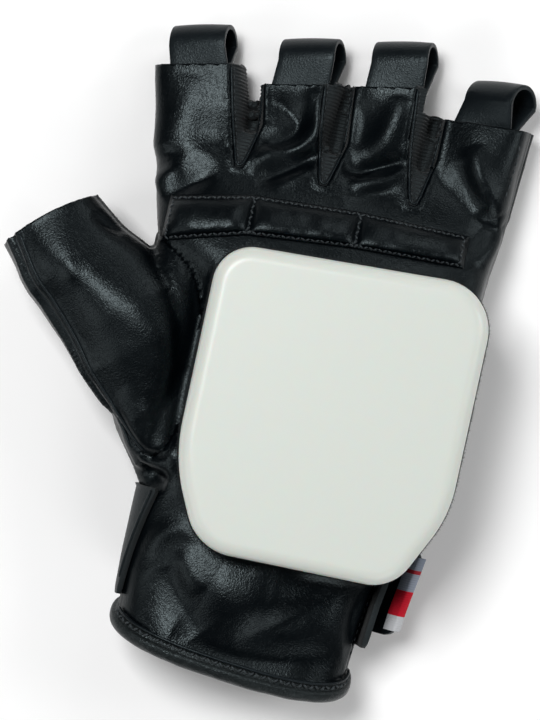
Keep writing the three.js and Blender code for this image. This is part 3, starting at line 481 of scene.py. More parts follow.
def thumb_form(sides=72):
    """The thumb's tube, a little past its open end."""
    reach = np.linspace(THUMB_SECTIONS[0][0], 1, 40)
    values = look_up(THUMB_SECTIONS, reach)
    root, turn = thumb_axes()
    rings = []
    past_end = (1 + OPEN_PAST / THUMB_LENGTH, values[-1])
    for share, (drift, width, depth, rise) in [*zip(reach, values), past_end]:
        half = width * THUMB_WIDTH / 2
        x, z = oval(circle(sides), half, half, depth * THUMB_DEPTH / 2, THUMB_POWER)
        local = np.stack([x + drift * THUMB_WIDTH, 0 * x + share * THUMB_LENGTH, z + rise * PALM_DEPTH], 1)
        rings.append(root + local @ turn.T)
    return tube(rings)


WEBS = [  # the fabric floor between two stalls: low and high corner
    ((-38, 138, 3), (-26, 171, 13)),
    ((-11, 138, 3), (6, 178, 14)),
    ((20, 138, 3), (36, 176, 14)),
]
THENAR = [  # the ball of the thumb: x, y, z, half width, half depth
    (-50, 92, 27, 18, 15),
    (-48, 80, 27.5, 14, 14),
    (-45, 68, 28.5, 9.8, 11.5),
    (-42, 56, 29.5, 6, 7.5),
    (-40, 50, 30, 3, 4),
]


def web_form(low, high):
    """A box between two corners."""
    corners = [(low[0], low[2]), (high[0], low[2]), (high[0], high[2]), (low[0], high[2])]
    rings = [(x, y, z) for y in (low[1], high[1]) for x, z in corners]
    return np.array(rings, float), ring_faces(2, 4)


THENAR_POWER = 2.3


def thenar_form(sides=48):
    """The ball of the thumb."""
    rings = []
    for x, y, z, half, depth in look_up_rows(THENAR, np.linspace(0, len(THENAR) - 1, 24)):
        across, up = oval(circle(sides), half, half, depth, THENAR_POWER)
        rings.append(np.stack([x + across, np.full(sides, y), z + up], 1))
    return tube(rings)


def blank_form():
    """Hand, stalls and thumb as one smooth closed surface."""
    verts, faces = [], []
    forms = [hand_form(), thumb_form(), thenar_form(), *[web_form(*corners) for corners in WEBS]]
    for form in forms + [stall_form(finger) for finger in FINGERS.values()]:
        start = sum(len(v) for v in verts)
        verts.append(form[0])
        faces += [tuple(i + start for i in face) for face in outward(*form)]
    made = make_object("blank", np.concatenate(verts), faces)
    remesh = made.modifiers.new("voxels", "REMESH")
    remesh.mode = "VOXEL"
    remesh.voxel_size = VOXEL * MM
    result = read_mesh(made)
    bpy.data.objects.remove(made)
    return result


# Fields of the cuts


STALL_END_SIDE = 2.5  # how far beside a stall its end's cut reaches
THUMB_END_BOW, THUMB_END_SIDE = 1.9, 36
THUMB_TUBE_START, THUMB_TUBE_SIDE = 1.2, 34  # how far out of the hand, and how far across, the tube begins
THUMB_BALL_LOW = 18  # height below which nothing belongs to the thumb's ball

hem_turn = turn_z(-HEM_SKEW) @ np.array(Matrix.Rotation(math.radians(HEM_LEAN), 3, "X"))
hem_normal = hem_turn @ np.array([0, 1, 0])
hem_middle = np.array([0, 0, PALM_DEPTH - CUFF_DEPTH / 2])


def hem_field(verts):
    """Distance towards the fingers from the slanted hem plane."""
    return (verts - hem_middle) @ hem_normal


def stall_end_field(verts, finger):
    """Above zero past the stall's open end."""
    row = stall_rows(finger)[-1]
    middle, turn = stall_frame(row)
    local = (verts - middle) @ turn
    return np.minimum(local[:, 1], row[4] + STALL_END_SIDE - np.abs(local[:, 0]))


def thumb_local(verts):
    """Points in the thumb's own axes."""
    root, turn = thumb_axes()
    return (verts - root) @ turn


def thumb_end_field(local):
    """Above zero past the thumb's open end, which is bowed."""
    bow = THUMB_END_BOW * (1 - (local[:, 0] / (THUMB_WIDTH / 2)) ** 2)
    return np.minimum(local[:, 1] - THUMB_LENGTH - bow, THUMB_END_SIDE - local[:, 0])


def side_field(verts):
    """Height above the seam between palm and back."""
    left, right = look_up(SIDE_SEAM, verts[:, 1] / TOP_STALL).T * PALM_DEPTH
    return verts[:, 2] - (left + (right - left) * (verts[:, 0] / PALM_WIDTH + 0.5))


THUMB_OUTLINE = [  # round the thumb and its ball, in photo pixels
    (164, 242), (182, 256), (197, 280), (202, 313), (199, 357), (187, 408), (168, 448),
    (150, 459), (136, 448), (108, 398), (60, 330), (-20, 260), (40, 170), (150, 220),
]


def thumb_region_field(verts):
    """Above zero where the surface belongs to the thumb and its ball, and not to the hand."""
    left, right, floor, top, power = hand_params(verts[:, 1]).T
    side = np.where(verts[:, 0] < 0, left, right)
    height = (verts[:, 2] - (floor + top) / 2) / ((top - floor) / 2)
    outside = (np.abs(verts[:, 0] / side) ** power + np.abs(height) ** power) ** (1 / power) - 1
    local = thumb_local(verts)
    reach = local[:, 1] / THUMB_LENGTH
    sides = [outside * 30 - THUMB_TUBE_START, (reach + 0.02) * 40, THUMB_TUBE_SIDE - local[:, 0]]
    outline = outline_field(verts, smooth_line(from_photo(THUMB_OUTLINE)))
    return np.maximum(np.minimum.reduce(sides), np.minimum(outline, verts[:, 2] - THUMB_BALL_LOW))


def thumb_core(y):
    """The middle of the thumb's tube in its own axes."""
    middle = next(row for row in THUMB_SECTIONS if row[0] > 0.5)
    return np.array([middle[1] * THUMB_WIDTH, y, middle[4] * PALM_DEPTH])


def thumb_seam_field(verts):
    """Height above the thumb's tilted seam plane."""
    local = thumb_local(verts) - thumb_core(0)
    tilt = math.radians(THUMB_SEAM_TILT)
    return local[:, 0] * math.sin(tilt) + local[:, 2] * math.cos(tilt)


def wedge_outline(left_finger, right_finger):
    """The outline of the gusset between two stalls, seen from the palm."""
    left_rows, right_rows = stall_rows(left_finger), stall_rows(right_finger)

    def seam(row, side, past):
        return stall_point(row, np.array(side * row[4]), np.array(past), np.array(0.0))[:2]

    foot = (seam(left_rows[1], 1, 0)[0] + seam(right_rows[1], -1, 0)[0]) / 2
    low = TOP_STALL - GUSSET_LOW * GUSSET_DROP
    shoulder = low + GUSSET_SHOULDER * GUSSET_DROP
    spread = GUSSET_SPREAD * GUSSET_DROP
    return np.array(
        [
            seam(left_rows[3], GUSSET_LEFT_SEAM, GUSSET_PAST),
            seam(left_rows[2], GUSSET_LEFT_SEAM, 0),
            (foot - spread, shoulder),
            (foot - spread / 2, low),
            (foot + spread / 2, low),
            (foot + spread, shoulder),
            seam(right_rows[2], -GUSSET_RIGHT_SEAM, 0),
            seam(right_rows[3], -GUSSET_RIGHT_SEAM, GUSSET_PAST),
        ]
    )


def distance_to_line(points, line, closed=False):
    """Each point's distance to a polyline, and where along it the nearest place is, from 0 to 1."""
    line = np.asarray(line, float)
    ends = np.roll(line, -1, 0) if closed else line[1:]
    starts = line if closed else line[:-1]
    lengths = np.linalg.norm(ends - starts, axis=1)
    before = np.concatenate([[0], np.cumsum(lengths)])
    best = np.full(len(points), 1e9)
    place = np.zeros(len(points))
    for k, (a, b) in enumerate(zip(starts, ends)):
        share = np.clip(((points - a) @ (b - a)) / max(lengths[k] ** 2, 1e-9), 0, 1)
        gap = np.linalg.norm(points - a - share[:, None] * (b - a), axis=1)
        nearer = gap < best
        best = np.where(nearer, gap, best)
        place = np.where(nearer, (before[k] + share * lengths[k]) / before[-1], place)
    return best, place


def inside_outline(points, outline):
    """Which points lie inside a closed outline."""
    inside = np.zeros(len(points), bool)
    for a, b in zip(outline, np.roll(outline, -1, 0)):
        crosses = (a[1] > points[:, 1]) != (b[1] > points[:, 1])
        at = a[0] + (points[:, 1] - a[1]) / (b[1] - a[1] if b[1] != a[1] else 1e-9) * (b[0] - a[0])
        inside ^= crosses & (points[:, 0] < at)
    return inside


def outline_field(verts, outline):
    """Distance inside an outline seen from above."""
    gap, _ = distance_to_line(verts[:, :2], outline, closed=True)
    return np.where(inside_outline(verts[:, :2], outline), gap, -gap)


wedges = {}
names = list(FINGERS)
for left_name, right_name in zip(names, names[1:]):
    wedges[f"gusset_{left_name}_{right_name}"] = wedge_outline(FINGERS[left_name], FINGERS[right_name])


# Folds of the leather

FOLDS = [  # height in mm, below zero for a valley, half width in mm, and a line in photo pixels
    # broad rises and hollows
    (2.2, 8, [(14, 212), (46, 244), (73, 268), (110, 300), (150, 326), (176, 352), (184, 372)]),
    (-1.2, 6, [(40, 286), (70, 326), (104, 372), (136, 416)]),
    (-5.5, 5, [(158, 238), (180, 254), (198, 280), (204, 313), (200, 357), (188, 410), (166, 452)]),
    (1.7, 7, [(190, 70), (184, 110), (174, 150)]),
    (1.6, 7, [(484, 116), (482, 150), (480, 184)]),
    (2.8, 11, [(212, 584), (236, 598), (262, 604)]),
    (-2.4, 7, [(172, 630), (214, 652), (262, 664), (344, 658)]),
    (-2.4, 6.5, [(166, 566), (176, 596), (200, 632)]),
    (-1.8, 5.0, [(236, 642), (300, 616), (352, 588)]),
    (-1.4, 7, [(280, 584), (310, 586), (340, 574)]),
    (-2.2, 7, [(352, 560), (360, 600), (354, 650)]),
    # index stall
    (1.6, 3, [(150, 192), (160, 178), (180, 166)]),
    (-2.0, 3.2, [(164, 198), (184, 182), (216, 172)]),
    (1.2, 4, [(178, 150), (196, 146), (216, 152)]),
    # middle stall
    (3.0, 3.3, [(314, 84), (317, 106), (319, 124), (304, 144), (282, 150), (262, 155), (246, 168)]),
    (-3.0, 4.6, [(262, 92), (288, 106), (300, 122), (290, 138), (270, 142)]),
    (-2.0, 2.8, [(318, 150), (300, 162), (282, 170), (256, 178)]),
    (1.3, 3.4, [(318, 164), (300, 174), (274, 184)]),
    # ring stall
    (2.2, 4.6, [(404, 92), (400, 112), (390, 132), (376, 152)]),
    (-2.0, 5, [(362, 96), (364, 120), (358, 146)]),
    (-3.0, 2.4, [(344, 166), (362, 168), (384, 165), (410, 158)]),
    (2.0, 3.2, [(352, 182), (376, 179), (396, 175), (410, 168)]),
    (-1.3, 3.4, [(346, 196), (372, 192), (400, 188)]),
    # little stall
    (2.2, 3.2, [(476, 144), (480, 168), (489, 190), (503, 214)]),
    (-1.3, 3.6, [(460, 160), (468, 184), (480, 208)]),
    (1.2, 3.4, [(511, 222), (496, 244), (482, 266)]),
    (-1.0, 3.2, [(498, 212), (480, 232), (468, 252)]),
    # thumb and its ball
    (-1.3, 1.7, [(92, 214), (106, 223), (124, 232)]),
    (0.6, 2.4, [(64, 258), (71, 267), (74, 282)]),
    (-2.2, 1.6, [(112, 412), (124, 438), (150, 459), (170, 454)]),
    (-4.2, 2.8, [(134, 468), (148, 479), (166, 482)]),
    (-1.8, 1.7, [(122, 448), (134, 466), (140, 480)]),
    # cuff
    (0.9, 3.0, [(146, 556), (158, 536), (178, 527), (206, 536)]),
    (1.0, 3.4, [(184, 548), (187, 572), (200, 592)]),
]


def smooth_line(points, rounds=3):
    """A polyline with its corners rounded off."""
    points = np.asarray(points, float)
    for _ in range(rounds):
        near = points[:-1] * 0.75 + points[1:] * 0.25
        far = points[:-1] * 0.25 + points[1:] * 0.75
        inner = np.stack([near, far], 1).reshape(-1, points.shape[1])
        points = np.concatenate([points[:1], inner[1:-1], points[-1:]])
    return points


FADE_LENGTH, FADE_POWER = 5, 0.7  # folds longer than this many half widths fade out at their ends
RIDGE_POWER, VALLEY_POWER = 2, 1.5
FACING_START, FACING_RANGE = 0.1, 0.5  # how far up the leather faces where folds come in


def fold_height(verts, upward):
    """How far the folds raise each point of the palm side."""
    total = np.zeros(len(verts))
    for height, width, points in FOLDS:
        line = smooth_line(from_photo(points))
        gap, place = distance_to_line(verts[:, :2], line)
        length = np.linalg.norm(np.diff(line, axis=0), axis=1).sum()
        slender = min(1, length / width / FADE_LENGTH)
        fade = 1 - slender * (1 - np.sin(math.pi * np.clip(place, 0, 1)) ** FADE_POWER)
        sharp = RIDGE_POWER if height > 0 else VALLEY_POWER
        total += height * fade * np.exp(-((gap / width) ** sharp))
    return total * np.clip((upward - FACING_START) / FACING_RANGE, 0, 1)


def wander(verts, height, size, seed):
    """Smooth noise of a given height and wavelength at each vertex."""
    return height * np.array([noise.noise(Vector(v)) for v in verts / size + seed])


RELAX_ROUNDS = 5
HEM_CUT = 0.35  # of HEM_ROLL: how far the leather ends from the hem's middle
BROAD_WAVES = (0.8, 26, 3.1)  # height, wavelength and seed of the leather's unevenness
FINE_WAVES = (0.16, 9, 8.7)
SWELL_LINE = [(34, 292), (64, 342), (102, 398)]  # along the thumb's outer side, in photo pixels
SWELL_RISE, SWELL_WIDTH = 2.0, 7
PUCK_MARGIN, PUCK_FADE = 2, 4  # where the leather lies flat under the puck
REST_FADE, REST_GAP = 4, 0.05  # the leather that lies on the ground


def leather_shell():
    """The leather's outer surface, cut open at the cuff, stalls and thumb, with its folds and seams."""
    verts, faces = blank_form()
    verts = relax(verts, faces, RELAX_ROUNDS)
    for finger in FINGERS.values():
        verts, faces, past = cut(verts, faces, stall_end_field(verts, finger))
        verts, faces = only(verts, faces[~past])
    verts, faces, past = cut(verts, faces, thumb_end_field(thumb_local(verts)))
    verts, faces = only(verts, faces[~past])
    verts, faces, beyond = cut(verts, faces, HEM_ROLL * HEM_CUT - hem_field(verts))
    verts, faces = largest(verts, faces[~beyond])
    normals = normals_of(verts, faces)
    under_puck = np.clip(outline_field(verts, puck_outline(-PUCK_MARGIN)) / PUCK_FADE + 0.2, 0, 1)
    under_puck *= normals[:, 2] > 0.3
    move = fold_height(verts, normals[:, 2]) * (1 - under_puck)
    move += wander(verts, *BROAD_WAVES) * (1 - under_puck)
    move += wander(verts, *FINE_WAVES)
    gap, _ = distance_to_line(verts[:, :2], smooth_line(from_photo(SWELL_LINE)))
    move += SWELL_RISE * bell(gap, SWELL_WIDTH) * np.clip(-normals[:, 0] * 1.5 - 0.3, 0, 1)
    resting = np.clip(verts[:, 2] / REST_FADE, 0, 1)
    verts = verts + normals * (move * resting)[:, None]
    verts[:, 2] = np.maximum(verts[:, 2], REST_GAP)
    return sink_seams(relax(verts, faces, 1), faces), faces


# Seams: depth and half width of the groove, and height, place and half width of the ridge beside it
GUSSET_SEAM = (1.1, 0.9, 0.55, 0.9, 0.8)
SIDE_GROOVE = (0.8, 0.9, 0.35, 2, 1)
THUMB_GROOVE = (1.1, 0.9, 0.8, 2, 1.1)
JOIN_DEPTH, JOIN_WIDTH = 0.5, 1.2
SEAM_AWAY = 9  # distance at which a seam has no effect


def seam_profile(gap, depth, width, ridge, ridge_place, ridge_width):
    """The rise of the leather at a distance from a seam."""
    return -depth * bell(gap, width) + ridge * bell(gap - ridge_place, ridge_width)


def sink_seams(verts, faces):
    """Turned edges and grooves along the seams."""
    normals = normals_of(verts, faces)
    thumb = thumb_region_field(verts)
    edge = np.full(len(verts), 99.0)
    in_gusset = np.zeros(len(verts), bool)
    for outline in wedges.values():
        field = outline_field(verts, outline)
        in_gusset |= field > 0
        edge = np.minimum(edge, np.abs(field))
    depth, width, ridge, place, ridge_width = GUSSET_SEAM
    move = np.where(in_gusset, -depth * (1 - bell(edge, width)), ridge * bell(edge - place, ridge_width))
    side = np.abs(side_field(verts)) + np.where((thumb > 0) | in_gusset, SEAM_AWAY, 0)
    move += seam_profile(side, *SIDE_GROOVE)
    seam = np.abs(thumb_seam_field(verts)) + np.where(thumb < 0, SEAM_AWAY, 0)
    move += seam_profile(seam, *THUMB_GROOVE)
    move += -JOIN_DEPTH * bell(np.abs(thumb), JOIN_WIDTH)
    return verts + normals * move[:, None]


def puck_outline(inset, steps=5):
    """The puck's rounded outline, drawn in by inset."""
    corners = np.array([(x * PUCK_WIDTH, y * PUCK_LENGTH) for x, y, _ in PUCK_CORNERS]) + PUCK_CENTRE
    radii = [r * PUCK_WIDTH for _, _, r in PUCK_CORNERS]
    points = []
    for i, at in enumerate(corners):
        before = corners[i - 1] - at
        after = corners[(i + 1) % len(corners)] - at
        before, after = before / np.linalg.norm(before), after / np.linalg.norm(after)
        half = math.acos(before @ after) / 2
        bisector = (before + after) / np.linalg.norm(before + after)
        middle = at + bisector * radii[i] / math.sin(half)
        start = math.atan2(-before[0], before[1])
        for k in range(steps + 1):
            angle = start - (math.pi - 2 * half) * k / steps
            points.append(middle + (radii[i] - inset) * np.array([math.cos(angle), math.sin(angle)]))
    return np.array(points)


# Materials


COOL_TINT = (0.8, 0.96, 1)
GLOSS_SPREAD = 0.12


def new_material(name, colour, roughness, tint=(1, 1, 1), **sockets):
    """A material, its node tree and its shader; a socket's spaces are written as underscores."""
    made = bpy.data.materials.new(name)
    made.use_nodes = True
    shader = made.node_tree.nodes["Principled BSDF"]
    shader.inputs["Base Color"].default_value = (*colour, 1)
    shader.inputs["Specular Tint"].default_value = (*tint, 1)
    shader.inputs["Roughness"].default_value = roughness
    for socket, value in sockets.items():
        shader.inputs[socket.replace("_", " ")].default_value = value
    return made, made.node_tree, shader


def add_node(tree, kind, **values):
    """A shader node with its sockets, their spaces written as underscores, or its own settings filled in."""
    made = tree.nodes.new(kind)
    for key, value in values.items():
        socket = key.replace("_", " ")
        if socket in made.inputs:
            made.inputs[socket].default_value = value
        else:
            setattr(made, key, value)
    return made


def connect(tree, *links):
    """Joins sockets, each link given as node, output, node and input."""
    for source, output, target, entry in links:
        tree.links.new(source.outputs[output], target.inputs[entry])


def add_bump(tree, shader, texture, strength, distance):
    """Roughens a material by a texture of its object's coordinates, which it returns."""
    place = add_node(tree, "ShaderNodeTexCoord")
    bump = add_node(tree, "ShaderNodeBump", Strength=strength, Distance=distance)
    connect(tree, (place, "Object", texture, "Vector"), (texture, "Fac", bump, "Height"))
    connect(tree, (bump, "Normal", shader, "Normal"))
    return place


def leather_material(name, colour, roughness, grain=1.0):
    """Grained black leather: pebbles with fine creases, and a little unevenness of gloss and colour."""
    made, tree, shader = new_material(name, colour, roughness, tint=COOL_TINT, Specular_IOR_Level=0.22)
    place = add_node(tree, "ShaderNodeTexCoord")
    cells = add_node(tree, "ShaderNodeTexVoronoi", feature="DISTANCE_TO_EDGE", Scale=1050.0)
    bend = add_node(tree, "ShaderNodeTexNoise", Scale=420.0, Detail=3.0)
    mix = add_node(tree, "ShaderNodeMixRGB", blend_type="LINEAR_LIGHT", Fac=0.0012)
    fine = add_node(tree, "ShaderNodeTexNoise", Scale=2600.0, Detail=3.0, Roughness=0.6)
    creases = add_node(tree, "ShaderNodeMapRange", From_Max=0.36)
    height = add_node(tree, "ShaderNodeMath", operation="MULTIPLY_ADD")
    height.inputs[1].default_value = 0.15
    bump = add_node(tree, "ShaderNodeBump", Strength=0.8 * grain, Distance=0.000045)
    connect(
        tree,
        (place, "Object", mix, "Color1"),
        (place, "Object", bend, "Vector"),
        (bend, "Color", mix, "Color2"),
        (mix, "Color", cells, "Vector"),
        (place, "Object", fine, "Vector"),
        (cells, "Distance", creases, "Value"),
        (fine, "Fac", height, 0),
        (creases, "Result", height, 2),
        (height, "Value", bump, "Height"),
        (bump, "Normal", shader, "Normal"),
    )
    cloud = add_node(tree, "ShaderNodeTexNoise", Scale=55.0, Detail=4.0)
    low, high = roughness - GLOSS_SPREAD / 2, roughness + GLOSS_SPREAD / 2
    gloss = add_node(tree, "ShaderNodeMapRange", From_Min=0.3, From_Max=0.7, To_Min=low, To_Max=high)
    tint = add_node(tree, "ShaderNodeValToRGB")
    for element, share in zip(tint.color_ramp.elements, (0.75, 1.35)):
        element.color = (*[c * share for c in colour], 1)
    connect(
        tree,
        (place, "Object", cloud, "Vector"),
        (cloud, "Fac", gloss, "Value"),
        (gloss, "Result", shader, "Roughness"),
        (cloud, "Fac", tint, "Fac"),
        (tint, "Color", shader, "Base Color"),
    )
    return made


def cloth_material(name, colour, roughness, scale=1500.0, depth=0.0002):
    """Matt cloth with a fine uneven nap."""
    made, tree, shader = new_material(name, colour, roughness, tint=COOL_TINT,
                                      Specular_IOR_Level=0.3, Sheen_Weight=0.06, Sheen_Roughness=0.6)
    add_bump(tree, shader, add_node(tree, "ShaderNodeTexNoise", Scale=scale, Detail=4.0), 0.8, depth)
    return made


def puck_material():
    """White plastic, faintly greenish, with soft wear."""
    made, tree, shader = new_material(
        "puck_plastic", (0.60, 0.635, 0.59), 0.36, Subsurface_Weight=0.25, Subsurface_Scale=0.004
    )
    add_bump(tree, shader, add_node(tree, "ShaderNodeTexNoise", Scale=90.0, Detail=2.0), 0.12, 0.0002)
    return made


RIBBON_STRIPES = [  # where each stripe begins, as a share of the ribbon's width, and its colour
    (0, (0.5, 0.51, 0.53)),
    (0.2, (0.5, 0.01, 0.025)),
    (0.54, (0.27, 0.3, 0.36)),
    (0.78, (0.3, 0.02, 0.03)),
    (0.83, (0.2, 0.23, 0.28)),
]


def ribbon_material(low, high):
    """Plain pale and red stripes across the ribbon, between two places along Y in metres."""
    made, tree, shader = new_material("ribbon_stripes", (0.55, 0.56, 0.56), 0.8, Specular_IOR_Level=0.1)
    parts = add_node(tree, "ShaderNodeSeparateXYZ")
    along = add_node(tree, "ShaderNodeMapRange", From_Min=low, From_Max=high)
    ramp = add_node(tree, "ShaderNodeValToRGB")
    stops = ramp.color_ramp.elements
    ramp.color_ramp.interpolation = "CONSTANT"
    for number, (position, colour) in enumerate(RIBBON_STRIPES):
        stop = stops[number] if number < 2 else stops.new(position)
        stop.position = position
        stop.color = (*colour, 1)
    weave = add_node(tree, "ShaderNodeTexWave", Scale=420.0, bands_direction="Y")
    place = add_bump(tree, shader, weave, 0.5, 0.0001)
    connect(
        tree,
        (place, "Object", parts, "Vector"),
        (parts, "Y", along, "Value"),
        (along, "Result", ramp, "Fac"),
        (ramp, "Color", shader, "Base Color"),
    )
    return made


LEATHER_LOOK = leather_material("black_leather", (0.0003, 0.0009, 0.0016), 0.33)
HEM_LOOK = leather_material("hem_leather", (0.008, 0.0098, 0.0102), 0.36, grain=2.2)
BAND_LOOK = leather_material("band_leather", (0.003, 0.0046, 0.006), 0.4)
GUSSET_LOOK = cloth_material("ribbed_cloth", (0.003, 0.0042, 0.005), 0.6)
STRAP_LOOK = cloth_material("strap_cloth", (0.0045, 0.006, 0.007), 0.6)
FUZZ_LOOK = cloth_material("fastener_nap", (0.0045, 0.0055, 0.006), 0.9)
THREAD_LOOK = cloth_material("black_thread", (0.02, 0.024, 0.027), 0.45, scale=4000.0, depth=0.0001)
PUCK_LOOK = puck_material()

# Pieces


def dress(made, look, replaces):
    """Gives a piece its material, hangs it on the root body and hides the frame's parts that it replaces."""
    made.data.materials.clear()
    made.data.materials.append(look)
    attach(made, "root")
    if replaces:
        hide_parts(*replaces)


def apply_modifiers(made):
    """Turns an object's modifiers into its mesh."""
    graph = bpy.context.evaluated_depsgraph_get()
    mesh = bpy.data.meshes.new_from_object(made.evaluated_get(graph))
    old = made.data
    made.modifiers.clear()
    made.data = mesh
    bpy.data.meshes.remove(old)
    mesh.shade_smooth()


def leather_piece(name, verts, faces, look, slot, thick):
    """A piece of the shell with a wall of its own."""
    made = make_object(name, verts, faces)
    wall = made.modifiers.new("wall", "SOLIDIFY")
    wall.thickness = thick * MM
    wall.offset = -1
    apply_modifiers(made)
    dress(made, look, (name,))


def bevelled(made, width):
    """Rounds an object's sharp edges."""
    bevel = made.modifiers.new("bevel", "BEVEL")
    bevel.width = width * MM
    bevel.segments = 2
    bevel.limit_method = "ANGLE"
    bevel.angle_limit = math.radians(40)
    apply_modifiers(made)
    return made


# The leather pieces and gussets

LEATHER_WALL, GUSSET_WALL = 1.5, 1.3
RIB_HEIGHT, RIB_PITCH, RIB_FADE = 0.16, 1.15, 0.5

shell_verts, shell_faces = leather_shell()
surface = BVHTree.FromPolygons(shell_verts.tolist(), shell_faces.tolist())


def surface_at(x, y):
    """The palm side's place and normal seen from above, or None beside it."""
    hit, normal, _, _ = surface.ray_cast(Vector((x, y, ABOVE)), Vector((0, 0, -1)))
    return None if hit is None else (hit, normal)


def finer(verts, faces):
    """Each triangle as four."""
    unique, place = np.unique(np.sort(edges_of(faces), axis=1), axis=0, return_inverse=True)
    place = place.reshape(-1)
    ab, bc, ca = (len(verts) + place[k * len(faces) : (k + 1) * len(faces)] for k in range(3))
    a, b, c = faces.T
    made = np.concatenate([np.stack(t, 1) for t in ((a, ab, ca), (ab, b, bc), (ca, bc, c), (ab, bc, ca))])
    return np.concatenate([verts, (verts[unique[:, 0]] + verts[unique[:, 1]]) / 2]), made


def build_leather():
    """The gussets, the thumb's two leathers, the palm and the back, cut out of one shell."""
    verts, faces = shell_verts, shell_faces
    for name, outline in wedges.items():
        verts, faces, inside = cut(verts, faces, outline_field(verts, outline))
        gusset = largest(verts, faces[inside])
        for _ in range(2):
            gusset = finer(*gusset)
        ribs = RIB_HEIGHT * np.sin(gusset[0][:, 1] * 2 * math.pi / RIB_PITCH)
        edge = np.clip(np.abs(outline_field(gusset[0], outline)) / RIB_FADE, 0, 1)
        made = gusset[0] + normals_of(*gusset) * (ribs * edge)[:, None]
        leather_piece(name, made, gusset[1], GUSSET_LOOK, "ribbed_gusset", GUSSET_WALL)
        verts, faces = only(verts, faces[~inside])
    verts, faces, thumb = cut(verts, faces, thumb_region_field(verts))
    thumb_verts, thumb_faces = largest(verts, faces[thumb])
    hand_verts, hand_faces = largest(verts, faces[~thumb])
    for region, field, names_of in (
        ((thumb_verts, thumb_faces), thumb_seam_field, ("thumb_front", "thumb_back")),
        ((hand_verts, hand_faces), side_field, ("palm_panel", "back_panel")),
    ):
        verts, faces, front = cut(*region, field(region[0]))
        for name, chosen, slot in zip(names_of, (front, ~front), ("leather", "leather_back")):
            leather_piece(name, *largest(verts, faces[chosen]), LEATHER_LOOK, slot, LEATHER_WALL)


build_leather()


# Pull loops


def loop_path(rise):
    """The loop's middle line: up the front leg, over the arch and down to where it is sewn."""
    half = (LOOP_DEPTH - LOOP_BAND) / 2
    straight = rise - LOOP_BAND / 2 - half
    behind = half - LOOP_BAND - SEAM_GAP
    points = [(-LOOP_LEG, half, 0), (-LOOP_LEG / 2, half, 0), (SEAM_GAP, half, 0)]
    for k in range(25):
        angle = math.pi * k / 24
        points.append((straight + half * math.sin(angle), half * math.cos(angle), 1))
    low = behind + (-half - behind) * LOOP_SEWN / LOOP_LEG
    points += [(SEAM_GAP, low, 0.4), (LOOP_SEWN - LOOP_LEG, behind, 0), (-LOOP_LEG, behind, 0)]
    return np.array(points)


LOOP_CUP = 0.35  # how far a loop's band bows across its width


def pull_loop(name, finger):
    """A band folded into a loop and sewn inside the stall's palm side."""
    row = stall_rows(finger)[-1]
    loop_roll, loop_shift, loop_rise = finger["loop"]
    path = loop_path(LOOP_RISE * loop_rise)
    heading = headings(path[:, :2])
    normal = np.stack([-heading[:, 1], heading[:, 0]], 1)
    across = np.linspace(-0.5, 0.5, 9)
    middle, turn = stall_frame(row)

    def layer(offset):
        grid = np.empty((len(path), len(across), 3))
        for i, (along, up, twist) in enumerate(path):
            roll = turn_y((finger["roll"] - loop_roll) * twist)
            drift = min(along, 0) * math.tan(math.radians(finger["cut"])) + twist * loop_shift * LOOP_WIDTH
            for j, share in enumerate(across):
                out = offset + LOOP_CUP * (1 - (2 * share) ** 2) * twist
                spot = (share * LOOP_WIDTH + drift, along + out * normal[i, 0], up + out * normal[i, 1])
                grid[i, j] = middle + turn @ roll @ np.array(spot)
        return grid

    verts, faces = sheet(layer(-LOOP_BAND / 2), layer(LOOP_BAND / 2))
    made = bevelled(make_object(f"pull_loop_{name}", verts, faces), LOOP_ROUND)
    dress(made, BAND_LOOK, (f"pull_loop_{name}",))


for finger_name, finger_row in FINGERS.items():
    pull_loop(finger_name, finger_row)


# Quilted pad


PAD_LONG, PAD_WIDE = 90, 14  # the pad's rounded length and width
CHANNEL_HALF, CELL_END, CELL_EDGE = 0.6, 8, 5.8  # of the sewn channels, and of a cell's slopes
PAD_BORDER, PAD_LIFT, PAD_FLAT, PAD_CROWN, PAD_UNDER = 1.2, 0.3, 0.75, 2.9, 0.25


def pad_place(u, v):
    """The place seen from above at shares u along the pad and v across it."""
    across, low, high = look_up_rows(PAD_STATIONS, u * (len(PAD_STATIONS) - 1))
    return across * PALM_WIDTH, CUFF_LENGTH + (low + (high - low) * v) * PALM_LENGTH


def pad_bulge(u, v):
    """The rise of the three cells, from 0 in the sewn channels to 1."""
    cell = u * 3 % 1
    end = np.clip((np.minimum(cell, 1 - cell) * PAD_LONG / 3 - CHANNEL_HALF) / CELL_END, 0, 1)
    edge = np.clip((np.minimum(v, 1 - v) * PAD_WIDE - PAD_BORDER) / CELL_EDGE, 0, 1)
    return np.sqrt((1 - (1 - end) ** 3) * (1 - (1 - edge) ** 2.4))


